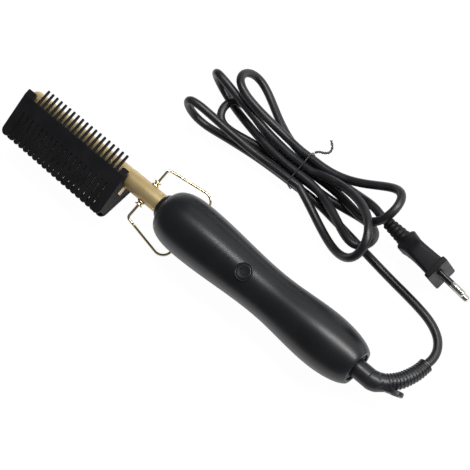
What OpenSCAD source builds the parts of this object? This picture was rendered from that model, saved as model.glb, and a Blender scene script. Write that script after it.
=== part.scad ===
// Electric hot comb with a swivelling cord, lying on a table with its wire stand folded under it.
// The comb's own frame: x runs from the tip of the barrel along its axis, y towards the short upper
// teeth, z up through the button. seat() moves that frame to the part's frame, and cord_seat() puts
// x = 0 at the rear end of the handle and z = 0 on the table. All sizes are in millimetres.

/* [Barrel] */
// Outside diameter of the heated barrel
barrel_d = 12.6; // [11.4:0.1:13]
// Wall of the barrel tube
barrel_wall = 1.2; // [0.9:0.1:1.5]
// Length of the barrel in front of the sleeve
barrel_l = 95.5; // [92:0.5:110]
// Length of the rounded tip
dome_l = 5; // [3:0.5:6]

/* [Sleeve] */
// Outside diameter of the sleeve between barrel and handle
sleeve_d = 13.2; // [13.2:0.1:14.4]
// Wall of the sleeve
sleeve_wall = 0.8; // [0.6:0.1:1]
// Length of the sleeve that shows
sleeve_show = 30.4; // [26:0.2:36]
// Length of the sleeve inside the handle
sleeve_in = 18; // [17:0.5:20]

/* [Metal comb] */
// Thickness of the metal spine under the barrel
spine_t = 3; // [2.4:0.1:3.4]
// Depth of the spine below the barrel
spine_h = 6.2; // [5.6:0.1:7]
// Length of the metal teeth
metal_tooth_l = 14; // [10:0.5:15]
// Width of a metal tooth at its root
metal_tooth_w = 2.2; // [1.6:0.1:2.6]
// Gap between the metal teeth and the guard
metal_tooth_gap = 0.4; // [0.3:0.1:0.8]

/* [Guard] */
// Distance from the barrel's tip to the guard
guard_inset = 2; // [1.9:0.1:5]
// Reach of the guard over the sleeve
guard_over = 2.7; // [2:0.1:3.2]
// Wall of the guard
guard_wall = 1.6; // [1.4:0.1:1.9]
// Reach of the guard below the barrel's axis
guard_low = 31.3; // [30:0.1:34]
// Height of the end lugs above the axis
guard_lug = 2.6; // [1.6:0.1:3.4]
// Half thickness of the guard at the axis
guard_half_top = 11.2; // [10.6:0.1:12]
// Half thickness of the guard at its lower edge
guard_half_low = 3.8; // [3.4:0.1:4.6]
// Spacing of the upper teeth
upper_pitch = 4.18; // [3.8:0.02:4.6]
// Height of the upper teeth above the axis
upper_tip = 9.9; // [8:0.1:11]
// Height of the back half's upper teeth above the axis
upper_tip_back = 6.8; // [5:0.1:9]
// Depth of the gaps between upper teeth below the axis
upper_base = 2; // [1.5:0.1:3]
// Width of an upper tooth at its root
upper_w = 2.1; // [1.8:0.1:2.6]
// Width of an upper tooth at its tip
upper_tip_w = 1.5; // [1.2:0.1:1.7]
// Spacing of the slits
slit_pitch = 4.72; // [4.4:0.02:5.2]
// Width of a slit
slit_w = 0.9; // [0.7:0.1:1.3]
// Depth of the slits' upper ends below the axis
slit_top = 12.2; // [12.2:0.1:14]
// Radius of the guard's posts
post_r = 2.1; // [2:0.1:2.4]

/* [Handle] */
// Length of the handle from front collar to rear end
handle_l = 160; // [156:1:176]
// Length of the front collar that shows
collar_l = 4.4; // [3.6:0.2:5]
// Diameter of the front bulge
bulge_d = 37.8; // [36:0.2:42]
// Distance from the collar to the front bulge
bulge_x = 27; // [24:0.5:30]
// Diameter of the waist
waist_d = 30.6; // [30:0.2:34]
// Distance from the collar to the waist
waist_x = 92; // [88:1:98]
// Diameter of the rear bulge
tail_d = 34.8; // [34:0.2:38]
// Distance from the collar to the rear bulge
tail_x = 132.5; // [128:0.5:138]
// Wall of the handle's shells
shell_wall = 2.2; // [1.8:0.1:2.6]

/* [Button] */
// Distance from the body's front edge to the button
button_x = 71; // [68:0.5:74]
// Diameter of the button
button_d = 9.3; // [8.6:0.1:9.6]
// Width of the ring around the button
bezel_w = 1; // [0.8:0.1:1.2]
// Travel of the button
button_travel = 0.8; // [0.6:0.1:1]
// Spacing of the four indicator windows
led_pitch = 3.3; // [3:0.1:3.6]
// Distance from the button to the middle of the indicators
led_back = 17.6; // [17:0.1:19]

/* [Control board] */
// Length of the board
board_l = 72; // [68:1:73]
// Width of the board
board_w = 18; // [16:0.5:18.5]
// Height of the board's underside above the axis
board_z = 5; // [4.6:0.1:5.2]
// Thickness of the board
board_t = 1.4; // [1:0.1:1.6]

/* [Stand] */
// Diameter of the stand's wire
wire_d = 1.8; // [1.6:0.1:2]
// Distance from the sleeve's front edge to the stand's pivot
pivot_x = 17.4; // [15:0.2:18]
// Distance from the axis to the corner of the wire
stand_half = 19.8; // [19:0.1:22]
// Length of the stand from pivot to crossbar
stand_l = 35.2; // [34:0.2:38]
// Angle at which each arm spreads outwards
stand_spread = 10; // [6:1:12]
// Radius of the bends beside the crossbar
stand_bend = 7; // [6:0.5:8]

/* [Swivel and boot] */
// Radius of the swivelling neck
neck_r = 6; // [5.6:0.1:6.2]
// Length of the neck outside the handle
neck_out = 9; // [8:0.5:9]
// Number of ribs on the boot
boot_ribs = 13; // [10:1:14]
// Radius of the hanging hole
hang_r = 2.6; // [2.3:0.1:2.8]

/* [Cord and plug] */
// Diameter of the cord
cord_d = 5.4; // [5:0.1:5.4]
// Height of the plug's body
plug_h = 35.2; // [34:0.2:36]
// Length of the plug's body
plug_l = 30; // [28:0.5:32]
// Diameter of the plug's pins
pin_d = 4; // [4:0.1:4.8]
// Spacing of the plug's pins
pin_gap = 18.6; // [17.5:0.1:19.2]
// Length of the plug's pins
pin_l = 19; // [18:0.5:20]

/* [Hidden] */
$fn = 48;
seat_gap = 0.05;
touch = 0.3;
// Stations along the axis
x_guard0 = guard_inset;
x_guard1 = barrel_l + guard_over;
guard_l = x_guard1 - x_guard0;
x_sleeve0 = barrel_l + touch;
x_collar = x_sleeve0 + sleeve_show;
x_sleeve1 = x_collar + sleeve_in;
x_body = x_collar + collar_l;
x_end = x_collar + handle_l;
x_pivot = x_sleeve0 + pivot_x;
x_button = x_body + button_x;
x_led = x_button - led_back;
// Radii of barrel and sleeve
barrel_r = barrel_d / 2;
sleeve_r = sleeve_d / 2;
bore_r = barrel_r - barrel_wall;
sleeve_bore = sleeve_r - sleeve_wall;
spigot_r = sleeve_bore - seat_gap;
spigot_wall = 1;
spigot_l = 12;
// Guard
guard_tilt = atan2(guard_half_top - guard_half_low, guard_low);
tip_round = (slit_pitch - slit_w) / 2;
slit_side = 5.8;
slits = floor((guard_l - 2 * slit_side) / slit_pitch) + 1;
slit_x0 = x_guard0 + (guard_l - (slits - 1) * slit_pitch) / 2;
lug_front = 8.1;
lug_rear = 5.3;
upper_front = 3.8;
upper_rear = 2;
upper_in = 0.15;
wall_set = 0.3;
x_spine0 = x_guard0 + guard_wall + wall_set + touch;
upper_span = guard_l - lug_front - lug_rear - upper_front - upper_rear;
upper_teeth = floor(upper_span / upper_pitch) + 1;
upper_x0 = x_guard0 + lug_front + upper_front + (upper_span - (upper_teeth - 1) * upper_pitch) / 2;
corner_r = 4;
end_hole = 0.3;
half_gap = 0.05;
post_y = -(barrel_r + spine_h / 2);
post_xs = [for (k = [-1:1]) x_guard0 + guard_l / 2 + k * slit_pitch * 7];
guard_screw_r = 0.9;
guard_head_r = 1.6;
guard_head_h = 1.2;
// Handle
mouth_r = 8.3;
collar_front_r = 7.4;
collar_rear_r = 9.2;
body_front_r = 9.4;
shoulder_power = 2.5;
rim_in = 9;
tail_open = 1.1;
tail_run = handle_l - tail_x + tail_open;
mouth_l = 7;
tail_l = 6.5;
tail_bore = 9.3;
steps = 12;
collar_spigot = 6;
bush_x0 = 11;
bulkhead_x = 14;
bulkhead_t = 2.4;
fit = 0.1;
boss_r = 3.2;
screw_r = 1.4;
head_r = 2.6;
head_h = 1.8;
screw_xs = [x_body + 19.5, x_body + 115.5];
screw_up = 7;
floor_t = 2;
// Board
board_x = x_body + 29.5;
board_top = board_z + board_t;
stake_r = 0.9;
stake_post_r = 1.7;
stake_y = board_w / 2 - 2.6;
stake_xs = [board_x + 4, board_x + board_l - 4];
switch_w = 6;
switch_h = 3.2;
switch_bore = 1.7;
plunger_r = 1.5;
plunger_in = 1.4;
lip_r = button_d / 2 + 0.65;
lip_t = 0.65;
lip_z = board_top + switch_h + button_travel + 0.2;
bezel_z = lip_z + lip_t + 0.15;
cap_proud = 0.5;
bezel_proud = 0.15;
button_fit = 0.1;
groove = 0.3;
pipe_r = 0.6;
led_h = 1.2;
pipe_bar = 1.2;
// Stand
wire_r = wire_d / 2;
pivot_fit = 0.05;
corner_bend = 2.2;
ferrule_bore = wire_r + pivot_fit;
ferrule_shank = 1.5;
ferrule_neck = 1.8;
ferrule_flange = 2.75;
ferrule_t = [0.7, 1.4, 0.9];
leg_in = 5;
stand_gap = 0.3;
// Tail ring and swivel
ring_in = 1.2;
ring_flange_r = 10.4;
ring_flange_t = 1.4;
swivel_fit = 0.08;
swivel_flange_r = 8.6;
swivel_flange_t = 2.2;
swivel_gap = 0.2;
cable_bore = 2.8;
hang_t = 2.8;
hang_half = 5;
hang_l = 23.5;
hang_turn = 19;
hang_x = 8;
hang_y = -3.2;
boot_r = 5.8;
boot_mid_r = 5.2;
boot_tip_r = 4.3;
boot_groove = 0.6;
// Wires inside
lead_r = 0.6;
supply_r = 0.8;
wire_y = 3;
wire_gap = 0.25;
heater_x0 = 20;
heater_l = 60;
heater_t = 1.8;
heater_w = 6;
fuse_r = 1.2;

// Power-shaped quarter curve from 0 to 1
function bow(u, p) = pow(max(0, 1 - pow(abs(u), p)), 1 / p);
function ease(t) = t * t * (3 - 2 * t);
// Radius of the handle at a distance q behind the collar
function handle_at(q) =
    q < bulge_x
        ? body_front_r + (bulge_d / 2 - body_front_r) * bow((bulge_x - q) / (bulge_x - collar_l), shoulder_power)
        : q < waist_x
        ? bulge_d / 2 + (waist_d - bulge_d) / 2 * ease((q - bulge_x) / (waist_x - bulge_x))
        : q < tail_x
        ? waist_d / 2 + (tail_d - waist_d) / 2 * ease((q - waist_x) / (tail_x - waist_x))
        : rim_in + (tail_d / 2 - rim_in) * bow((q - tail_x) / tail_run, 2);
function handle_r(x) = handle_at(x - x_collar);
function drop(n, h) =
    n == 0 ? h : drop(n - 1, handle_r(x_pivot + sqrt(stand_l * stand_l - h * h)) + wire_r + stand_gap);
stand_drop = drop(6, 19);
stand_fold = asin(stand_drop / stand_l);
arm_tip_y = stand_half + stand_l * tan(stand_spread);
bend_t = stand_bend * tan((90 + stand_spread) / 2);
bend_y = arm_tip_y - bend_t * sin(stand_spread) - stand_bend * cos(stand_spread);
bend_x = stand_l - stand_bend;
stand_y = bend_y + stand_bend + wire_r;
axis_z = stand_drop + wire_r;
axis_y = (guard_low - stand_y) / 2;

module seat() translate([-x_end / 2, axis_y, axis_z]) children();
module cord_seat() translate([x_end / 2, axis_y, 0]) children();

// Cylinder along x, y or a tube between two radii
module rod_x(x0, x1, r) translate([x0, 0, 0]) rotate([0, 90, 0]) cylinder(r = r, h = x1 - x0);
module rod_y(x, z, y0, y1, r) translate([x, y0, z]) rotate([-90, 0, 0]) cylinder(r = r, h = y1 - y0);
module rod_z(x, y, z0, z1, r) translate([x, y, z0]) cylinder(r = r, h = z1 - z0);
module tube_x(x0, x1, r1, r2) difference() {
    rod_x(x0, x1, r1);
    rod_x(x0 - 1, x1 + 1, r2);
}
// Body turned about the axis from [radius, x] points; turn gives the half that is kept
module turned(points, turn = 90, angle = 360)
    rotate([0, 90, 0]) rotate([0, 0, turn]) rotate_extrude(angle = angle, $fn = 64) polygon(points);

// Tube swept through points: rings keep their direction from one point to the next
function unit(v) = v / norm(v);
function across(n, t) = unit(n - t * (n * t));
function tangents(p) = [
    for (i = [0:len(p) - 1]) unit(p[min(i + 1, len(p) - 1)] - p[max(i - 1, 0)])
];
function normals(t, n0) = [for (i = 0, n = across(n0, t[0]); i < len(t);
    i = i + 1, n = i < len(t) ? across(n, t[i]) : n) n];
module sweep(p, radii, sides, n0 = [0.1, 0, 1]) {
    t = tangents(p);
    n = normals(t, n0);
    last = (len(p) - 1) * sides;
    points = [for (i = [0:len(p) - 1], k = [0:sides - 1])
        p[i] + radii[i] * (cos(360 * k / sides) * n[i] + sin(360 * k / sides) * cross(t[i], n[i]))];
    sides_faces = [for (i = [0:len(p) - 2], k = [0:sides - 1], h = [0, 1])
        let (a = i * sides + k, b = i * sides + (k + 1) % sides)
            h == 0 ? [a, a + sides, b] : [b, a + sides, b + sides]];
    ends = [for (k = [1:sides - 2], h = [0, 1]) h == 0 ? [0, k, k + 1] : [last, last + k + 1, last + k]];
    polyhedron(points, concat(sides_faces, ends));
}
module cord_tube(p, d, sides = 8) sweep(p, [for (q = p) d / 2], sides);
// Smooth curve through hand-set points, n pieces a span
function smooth(p, n) = concat([for (i = [0:len(p) - 2], k = [0:n - 1])
    let (t = k / n, a = p[max(i - 1, 0)], b = p[i], c = p[i + 1], e = p[min(i + 2, len(p) - 1)])
        (2 * b + (c - a) * t + (2 * a - 5 * b + 4 * c - e) * t * t
            + (3 * b - a - 3 * c + e) * t * t * t) / 2], [p[len(p) - 1]]);

// ---- Working end ----

module barrel() color("#b8a57c") seat() {
    difference() {
        rod_x(dome_l, barrel_l, barrel_r);
        rod_x(dome_l - 1, barrel_l + 1, bore_r);
    }
    tube_x(barrel_l - 2, barrel_l + spigot_l, spigot_r, spigot_r - spigot_wall);
}

module barrel_tip_cap() color("#c2b088") seat() {
    dome = [for (i = [0:steps]) let (a = 90 * i / steps) [barrel_r * sin(a), dome_l * (1 - cos(a))]];
    turned(concat(dome, [[0, dome_l]]));
    rod_x(dome_l, dome_l + 5, bore_r - seat_gap);
}

module metal_comb() color("#b39c68") seat() difference() {
    union() {
        translate([x_spine0, -(barrel_r + spine_h), -spine_t / 2])
            cube([x_guard1 - x_spine0, spine_h + 1, spine_t]);
        for (i = [0:slits - 1]) intersection() {
            translate([slit_x0 + i * slit_pitch, -(barrel_r + spine_h), -guard_half_top])
                linear_extrude(2 * guard_half_top) metal_tooth();
            metal_taper();
        }
    }
    rod_x(0, barrel_l, barrel_r + seat_gap);
    rod_x(barrel_l - seat_gap, barrel_l + 5, sleeve_r + seat_gap);
    for (x = post_xs) rod_z(x, post_y, -spine_t, spine_t, post_r + fit);
}
module metal_taper() translate([x_guard0, 0, 0]) rotate([90, 0, 90]) linear_extrude(guard_l) {
    ys = [-(barrel_r + spine_h) + 0.5, -(barrel_r + spine_h + metal_tooth_l + 1)];
    zs = [for (y = ys) plate_z(y) - guard_wall / cos(guard_tilt) - metal_tooth_gap];
    polygon([[ys[0], -zs[0]], [ys[0], zs[0]], [ys[1], zs[1]], [ys[1], -zs[1]]]);
}
module metal_tooth() {
    w = metal_tooth_w / 2;
    tip = w / 2;
    polygon([[-w, 0.5], [-tip, tip - metal_tooth_l], [tip, tip - metal_tooth_l], [w, 0.5]]);
    translate([0, tip - metal_tooth_l]) circle(r = tip);
}

module sleeve() color("#b8a57c") seat() difference() {
    tube_x(x_sleeve0, x_sleeve1, sleeve_r, sleeve_bore);
    rod_y(x_pivot, 0, -sleeve_r - 1, sleeve_r + 1, ferrule_shank + seat_gap);
}

// ---- Guard ----

function plate_z(y) = guard_half_top + y * tan(guard_tilt);
module guard_outline() {
    low = guard_low / cos(guard_tilt);
    flat_low = low - tip_round;
    difference() {
        union() {
            translate([x_guard0, corner_r - low]) square([guard_l, low - corner_r - upper_base]);
            translate([x_guard0 + corner_r, -flat_low]) square([guard_l - 2 * corner_r, flat_low - upper_base]);
            for (x = [x_guard0 + corner_r, x_guard1 - corner_r])
                translate([x, corner_r - low]) circle(r = corner_r);
            for (i = [1:slits - 1])
                translate([slit_x0 + (i - 0.5) * slit_pitch, -flat_low]) circle(r = tip_round, $fn = 24);
        }
        for (i = [0:slits - 1])
            translate([slit_x0 + i * slit_pitch - slit_w / 2, -low - 1]) square([slit_w, low + 1 - slit_top]);
    }
}
// The guard's upper edge stands upright beside the barrel: two end lugs and the short teeth between them
module guard_top(tooth_tip) {
    root = -upper_base - touch;
    translate([x_guard0, root]) square([lug_front, guard_lug - root]);
    translate([x_guard1 - lug_rear, root]) square([lug_rear, guard_lug - root]);
    for (i = [0:upper_teeth - 1]) translate([upper_x0 + i * upper_pitch, 0]) {
        w = upper_w / 2;
        tip = upper_tip_w / 2;
        polygon([[-w, root], [-tip, tooth_tip - tip], [tip, tooth_tip - tip], [w, root]]);
        translate([0, tooth_tip - tip]) circle(r = tip, $fn = 24);
    }
}
module guard_wall_end(x, notch) {
    low = -(guard_low - tip_round - 1);
    in = guard_wall / cos(guard_tilt) - 0.4;
    translate([x, 0, 0]) rotate([90, 0, 90]) linear_extrude(guard_wall) difference() {
        polygon([[low, half_gap], [low, plate_z(low) - in], [0, plate_z(0) - in], [0, half_gap]]);
        circle(r = (notch ? sleeve_r : barrel_r) + end_hole);
        if (notch) translate([-(barrel_r + spine_h + touch), -1])
            square([spine_h + barrel_r, 1 + spine_t / 2 + touch]);
    }
}
module guard_half(tooth_tip) {
    translate([0, 0, plate_z(-upper_base) - guard_wall + upper_in]) linear_extrude(guard_wall - 2 * upper_in)
        guard_top(tooth_tip);
    translate([0, 0, guard_half_top]) rotate([guard_tilt, 0, 0]) translate([0, 0, -guard_wall])
        linear_extrude(guard_wall) guard_outline();
    guard_wall_end(x_guard0 + wall_set, false);
    guard_wall_end(x_guard1 - guard_wall - wall_set, true);
    for (x = post_xs) rod_z(x, post_y, half_gap, post_top, post_r);
}
post_top = plate_z(post_y) - guard_wall / 2;
head_seat = plate_z(post_y) - guard_wall - guard_head_h + 1;
module guard_front() color("#17171a") seat() difference() {
    guard_half(upper_tip);
    for (x = post_xs) rod_z(x, post_y, 0, 4.5, guard_screw_r + seat_gap);
}
module guard_back() color("#1b1b1f") seat() difference() {
    mirror([0, 0, 1]) guard_half(upper_tip_back);
    for (x = post_xs) {
        rod_z(x, post_y, -guard_half_top, 0, guard_screw_r + fit);
        rod_z(x, post_y, -guard_half_top - 2, -head_seat, guard_head_r + fit);
    }
}
module guard_screws() color("#8f9096") seat() for (x = post_xs) {
    rod_z(x, post_y, -head_seat, 4, guard_screw_r);
    difference() {
        rod_z(x, post_y, -head_seat - guard_head_h, -head_seat, guard_head_r);
        for (a = [0, 90]) translate([x, post_y, -head_seat - guard_head_h]) rotate([0, 0, a])
            cube([2 * guard_head_r - 1, 0.5, 1], center = true);
    }
}

// ---- Heater ----

module heater_plate() color("#e9e6da") seat()
    translate([heater_x0, -heater_w / 2, -heater_t / 2]) cube([heater_l, heater_w, heater_t]);

module heater_clamps() color("#a9abb0") seat() for (s = [-1, 1]) difference() {
    rod_x(heater_x0 - 2, heater_x0 + heater_l + 2, bore_r - seat_gap);
    translate([0, -barrel_r, s > 0 ? -barrel_d : -heater_t / 2 - seat_gap])
        cube([barrel_l, barrel_d, barrel_d + heater_t / 2 + seat_gap]);
}

module temperature_sensor() color("#d9b55a") seat()
    rod_x(heater_x0 + heater_l + touch, heater_x0 + heater_l + 6, 0.9);

module thermal_fuse() color("#c9c9cd") seat()
    translate([0, 0, -(spigot_r - spigot_wall - fuse_r - fit)]) {
        rod_x(barrel_l, barrel_l + 8, fuse_r);
        rod_x(barrel_l - 4, barrel_l + 12, 0.35);
    }

module heater_leads() color("#d8d2c4") seat() for (s = [-1, 1])
    sweep(smooth([[heater_x0 + heater_l + touch, s * 1.7, 0], [x_pivot, s * 1.7, 0], [x_sleeve1 - 8, s * 1.8, 0],
        [x_sleeve1 + 2, s * 5, 0.5], [x_sleeve1 + 10, s * 5.2, 2], [board_x, s * wire_y, board_z - lead_r - wire_gap],
        [board_x + 6, s * wire_y, board_z - lead_r - wire_gap]], 2), [for (i = [0:12]) lead_r], 6);

// ---- Handle ----

module front_collar() color("#1d1d20") seat() difference() {
    union() {
        turned(concat([[0, x_collar]], [for (i = [0:steps / 2]) let (a = 180 * i / steps)
            [collar_front_r + (collar_rear_r - collar_front_r) * sin(a),
                x_collar + (collar_l - touch) * (1 - cos(a))]], [[0, x_body - touch]]));
        rod_x(x_collar, x_body + collar_spigot, mouth_r - fit);
    }
    rod_x(x_collar - 1, x_body + collar_spigot + 1, sleeve_r + seat_gap);
}

module insulator_bush() color("#e4ded0") seat()
    tube_x(x_collar + bush_x0, x_sleeve1, mouth_r - fit, sleeve_r + seat_gap);

function stations(a, b, n) = [for (i = [0:n]) a + (b - a) * i / n];
// Stations lie closer together on the shoulder and at the rear end
function shell_xs() = concat(
    [for (i = [0:steps - 1]) x_body + (bulge_x - collar_l) * (1 - cos(90 * i / steps))],
    stations(x_collar + bulge_x, x_collar + waist_x, steps),
    [for (x = stations(x_collar + waist_x, x_collar + tail_x, steps)) if (x > x_collar + waist_x) x],
    [for (i = [1:steps - 2]) x_collar + tail_x + (handle_l - tail_x) * sin(90 * i / steps)],
    [x_end]
);
module shell_half(turn) {
    x0 = x_body + mouth_l;
    x1 = x_end - tail_l;
    outside = [for (x = shell_xs()) [handle_r(x), x]];
    inner_xs = concat([x0], [for (x = shell_xs()) if (x > x0 + 0.5 && x < x1 - 0.5) x], [x1]);
    inside = [for (i = [len(inner_xs) - 1:-1:0]) [handle_r(inner_xs[i]) - shell_wall, inner_xs[i]]];
    turned(concat([[mouth_r, x_body]], outside, [[tail_bore, x_end], [tail_bore, x1]], inside,
        [[mouth_r, x0]]), turn, 180);
    xb = x_collar + bulkhead_x;
    turned([[mouth_r, xb], [handle_r(xb) - shell_wall / 2, xb],
        [handle_r(xb) - shell_wall / 2, xb + bulkhead_t], [mouth_r, xb + bulkhead_t]], turn, 180);
}
module bosses(side) for (x = screw_xs) {
    top = handle_r(x) - shell_wall / 2;
    rod_z(x, 0, side > 0 ? half_gap : -top, side > 0 ? top : -half_gap, boss_r);
}
module handle_top_shell() color("#1f2023") seat() difference() {
    union() {
        shell_half(90);
        bosses(1);
    }
    for (x = screw_xs) rod_z(x, 0, -1, screw_up + 1, screw_r + fit / 2);
    rod_z(x_button, 0, 0, bulge_d, button_d / 2 + button_fit + bezel_w + seat_gap);
    for (i = [-1.5:1.5]) rod_z(x_led + i * led_pitch, 0, board_top + led_h, bulge_d, pipe_r + seat_gap);
}
function head_z(x) = handle_r(x) - 6;
module handle_bottom_shell() color("#1c1d20") seat() difference() {
    union() {
        shell_half(-90);
        bosses(-1);
        for (x = stake_xs, s = [-1, 1]) {
            foot = sqrt(pow(handle_r(x) - shell_wall / 2, 2) - pow(stake_y + stake_post_r, 2));
            rod_z(x, s * stake_y, -foot, board_z, stake_post_r);
            rod_z(x, s * stake_y, board_z, board_top + 0.6, stake_r);
        }
    }
    for (x = screw_xs) {
        rod_z(x, 0, -bulge_d, 1, screw_r + fit);
        rod_z(x, 0, -bulge_d, -head_z(x), head_r + fit);
    }
}
module shell_screws() color("#55565c") seat() for (x = screw_xs) {
    rod_z(x, 0, -head_z(x), screw_up, screw_r);
    difference() {
        rod_z(x, 0, -head_z(x) - head_h, -head_z(x), head_r);
        for (a = [0, 90]) translate([x, 0, -head_z(x) - head_h]) rotate([0, 0, a])
            cube([3.4, 0.8, 2], center = true);
    }
}

// ---- Button and board ----

button_top = handle_r(x_button);
module power_button() color("#242529") seat() difference() {
    union() {
        rod_z(x_button, 0, lip_z, lip_z + lip_t, lip_r);
        rod_z(x_button, 0, lip_z + lip_t, button_top + cap_proud, button_d / 2);
    }
    translate([x_button, 0, button_top + cap_proud - groove]) {
        rotate([0, 0, 125]) rotate_extrude(angle = 290) translate([1.9, 0]) square([0.5, 1]);
        translate([-2.9, -0.25, 0]) cube([2.4, 0.5, 1]);
    }
}
module button_ring() color("#3a3b40") seat() difference() {
    rod_z(x_button, 0, bezel_z, button_top + bezel_proud, button_d / 2 + button_fit + bezel_w);
    rod_z(x_button, 0, bezel_z - 1, button_top + 1, button_d / 2 + button_fit);
}
module push_switch() color("#2c2c30") seat() difference() {
    translate([x_button - switch_w / 2, -switch_w / 2, board_top]) cube([switch_w, switch_w, switch_h]);
    rod_z(x_button, 0, lip_z - plunger_in - button_travel - 0.2 - 1, lip_z, switch_bore);
}
module switch_plunger() color("#b9b9bd") seat() rod_z(x_button, 0, lip_z - plunger_in - 1, lip_z, plunger_r);

module control_board() color("#1f6b3a") seat() difference() {
    translate([board_x, -board_w / 2, board_z]) cube([board_l, board_w, board_t]);
    for (x = stake_xs, s = [-1, 1]) rod_z(x, s * stake_y, 0, board_top + 1, stake_r + fit);
}
module board_components() color("#3b3c42") seat() {
    // control chip, its resistors, the triac and a smoothing capacitor on top or below
    translate([board_x + 9, -6, board_top]) cube([7, 6, 1.5]);
    for (i = [0:5]) translate([board_x + 9 + i * 2.6, 2.6, board_top]) cube([1.2, 2, 0.6]);
    translate([board_x + board_l - 20, -4.6, board_top]) cube([9, 9.2, 3.6]);
    translate([board_x + board_l - 24, -3.2, board_z - 8]) cube([13, 6.4, 8]);
    translate([0, 0, board_z - 3]) rod_x(board_x + 18, board_x + 28, 3);
    translate([board_x + 34, -4, board_z - 5]) cube([9, 8, 5]);
}
module indicator_lamps() color("#f0f0e8") seat() for (i = [-1.5:1.5])
    translate([x_led + i * led_pitch - 0.8, -0.5, board_top]) cube([1.6, 1, led_h]);
module light_pipe() color("#dfe3e6") seat() {
    bar_z = handle_r(x_led + 2 * led_pitch) - shell_wall - touch - pipe_bar - 0.1;
    for (i = [-1.5:1.5]) {
        x = x_led + i * led_pitch;
        rod_z(x, 0, board_top + led_h + touch, handle_r(x), pipe_r);
    }
    translate([x_led - 2 * led_pitch, -1.2, bar_z]) cube([4 * led_pitch, 2.4, pipe_bar]);
}

// ---- Stand ----

// Half of the wire's centreline from the ferrule to the middle of the crossbar
function arc(c, r, a0, a1, n) = [for (i = [0:n]) let (a = a0 + (a1 - a0) * i / n) c + r * [cos(a), sin(a)]];
corner_y = stand_half - corner_bend * tan((90 - stand_spread) / 2);
half_line = concat(
    arc([corner_bend, corner_y], corner_bend, 180, 90 + stand_spread, 4),
    arc([bend_x, bend_y], stand_bend, 90 + stand_spread, 0, 8));
leg_out = corner_y - 1;
module stand_wire() color("#c8a85e") seat() translate([x_pivot, 0, 0]) rotate([0, stand_fold, 0]) {
    for (s = [0, 1]) mirror([0, s, 0]) rod_y(0, 0, leg_in, leg_out, wire_r);
    half = concat([[0, leg_out]], half_line);
    line = concat(half, [for (i = [len(half) - 1:-1:0]) [half[i][0], -half[i][1]]]);
    sweep([for (p = line) [p[0], p[1], 0]], [for (p = line) wire_r], 12, [0, 0, 1]);
}
module stand_ferrules() color("#bfa063") seat() for (s = [0, 1]) mirror([0, s, 0]) difference() {
    y1 = sleeve_r + seat_gap;
    union() {
        rod_y(x_pivot, 0, sleeve_bore, y1 + 1, ferrule_shank);
        rod_y(x_pivot, 0, y1, y1 + ferrule_t[0], ferrule_flange);
        rod_y(x_pivot, 0, y1, y1 + ferrule_t[0] + ferrule_t[1] + 0.5, ferrule_neck);
        rod_y(x_pivot, 0, y1 + ferrule_t[0] + ferrule_t[1],
            y1 + ferrule_t[0] + ferrule_t[1] + ferrule_t[2], ferrule_flange);
    }
    rod_y(x_pivot, 0, 0, barrel_l, ferrule_bore);
}

// ---- Swivel ----

module tail_ring() color("#2a2b2f") seat() difference() {
    union() {
        rod_x(x_end - tail_l - fit, x_end - ring_in, tail_bore - fit);
        rod_x(x_end - tail_l - ring_flange_t - fit, x_end - tail_l - fit, ring_flange_r);
    }
    rod_x(x_end - tail_l - 5, x_end, neck_r + swivel_fit);
}
swivel_x = x_end - tail_l - ring_flange_t - fit - swivel_gap;
// Route of the boot, from the neck's end to the cord, from the handle's rear end and the table
boot_route = [[neck_out - 0.1, 0, axis_z], [neck_out + 2.5, 0.3, axis_z - 0.1], [14.5, 1.9, 19.2], [18.3, 5, 18],
    [22.2, 10, 15.8], [24.8, 16, 13.3], [26.2, 21.5, 11], [26.6, 27, 8.8]];
boot_plain = 20;
boot_steps = 7;
module strain_relief() color("#151518") {
    seat() difference() {
        union() {
            rod_x(swivel_x - swivel_flange_t, x_end + neck_out, neck_r);
            rod_x(swivel_x - swivel_flange_t, swivel_x, swivel_flange_r);
        }
        rod_x(swivel_x - swivel_flange_t - 1, x_end + neck_out + 1, cable_bore);
    }
    seat() translate([x_end + hang_x, hang_y, 0]) rotate([0, 0, hang_turn]) hang_plate();
    cord_seat() {
        fine = smooth(boot_route, boot_steps);
        last = len(fine) - 1;
        rings = 2 * boot_ribs;
        rib_at = [for (i = [0:rings]) boot_plain + (last - boot_plain) * i / rings];
        start = [for (i = [0:4:boot_plain - 1]) i];
        path = concat([for (i = start) fine[i]], [for (a = rib_at)
            fine[floor(a)] + (fine[min(last, floor(a) + 1)] - fine[floor(a)]) * (a - floor(a))]);
        sweep(path, concat([for (i = start) boot_r - (boot_r - boot_mid_r) * i / boot_plain],
            [for (i = [0:rings]) boot_mid_r - (boot_mid_r - boot_tip_r) * i / rings
                - (i % 2 == 1 ? boot_groove : 0)]), 12);
    }
}
module hang_plate() rotate([90, 0, 0]) translate([0, 0, -hang_t / 2]) linear_extrude(hang_t) difference() {
    union() {
        translate([0, -hang_half + 1]) square([hang_l - hang_half, 2 * hang_half - 2]);
        translate([hang_l - hang_half, 0]) circle(r = hang_half);
    }
    translate([hang_l - hang_half, 0]) circle(r = hang_r);
}

// ---- Wires inside the handle ----

module supply_wires() color("#8c3b32") seat() for (s = [-1, 1])
    sweep(smooth([[x_end - touch, s * 1.2, 0], [x_end - 12, s * 1.2, 0], [x_end - 24, s * 4.8, 0],
        [x_end - 42, s * 5.4, 0.5], [board_x + board_l, s * wire_y, board_z - supply_r - wire_gap],
        [board_x + board_l - 7, s * wire_y, board_z - supply_r - wire_gap]], 2), [for (i = [0:10]) supply_r], 6);

// ---- Cord ----

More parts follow.
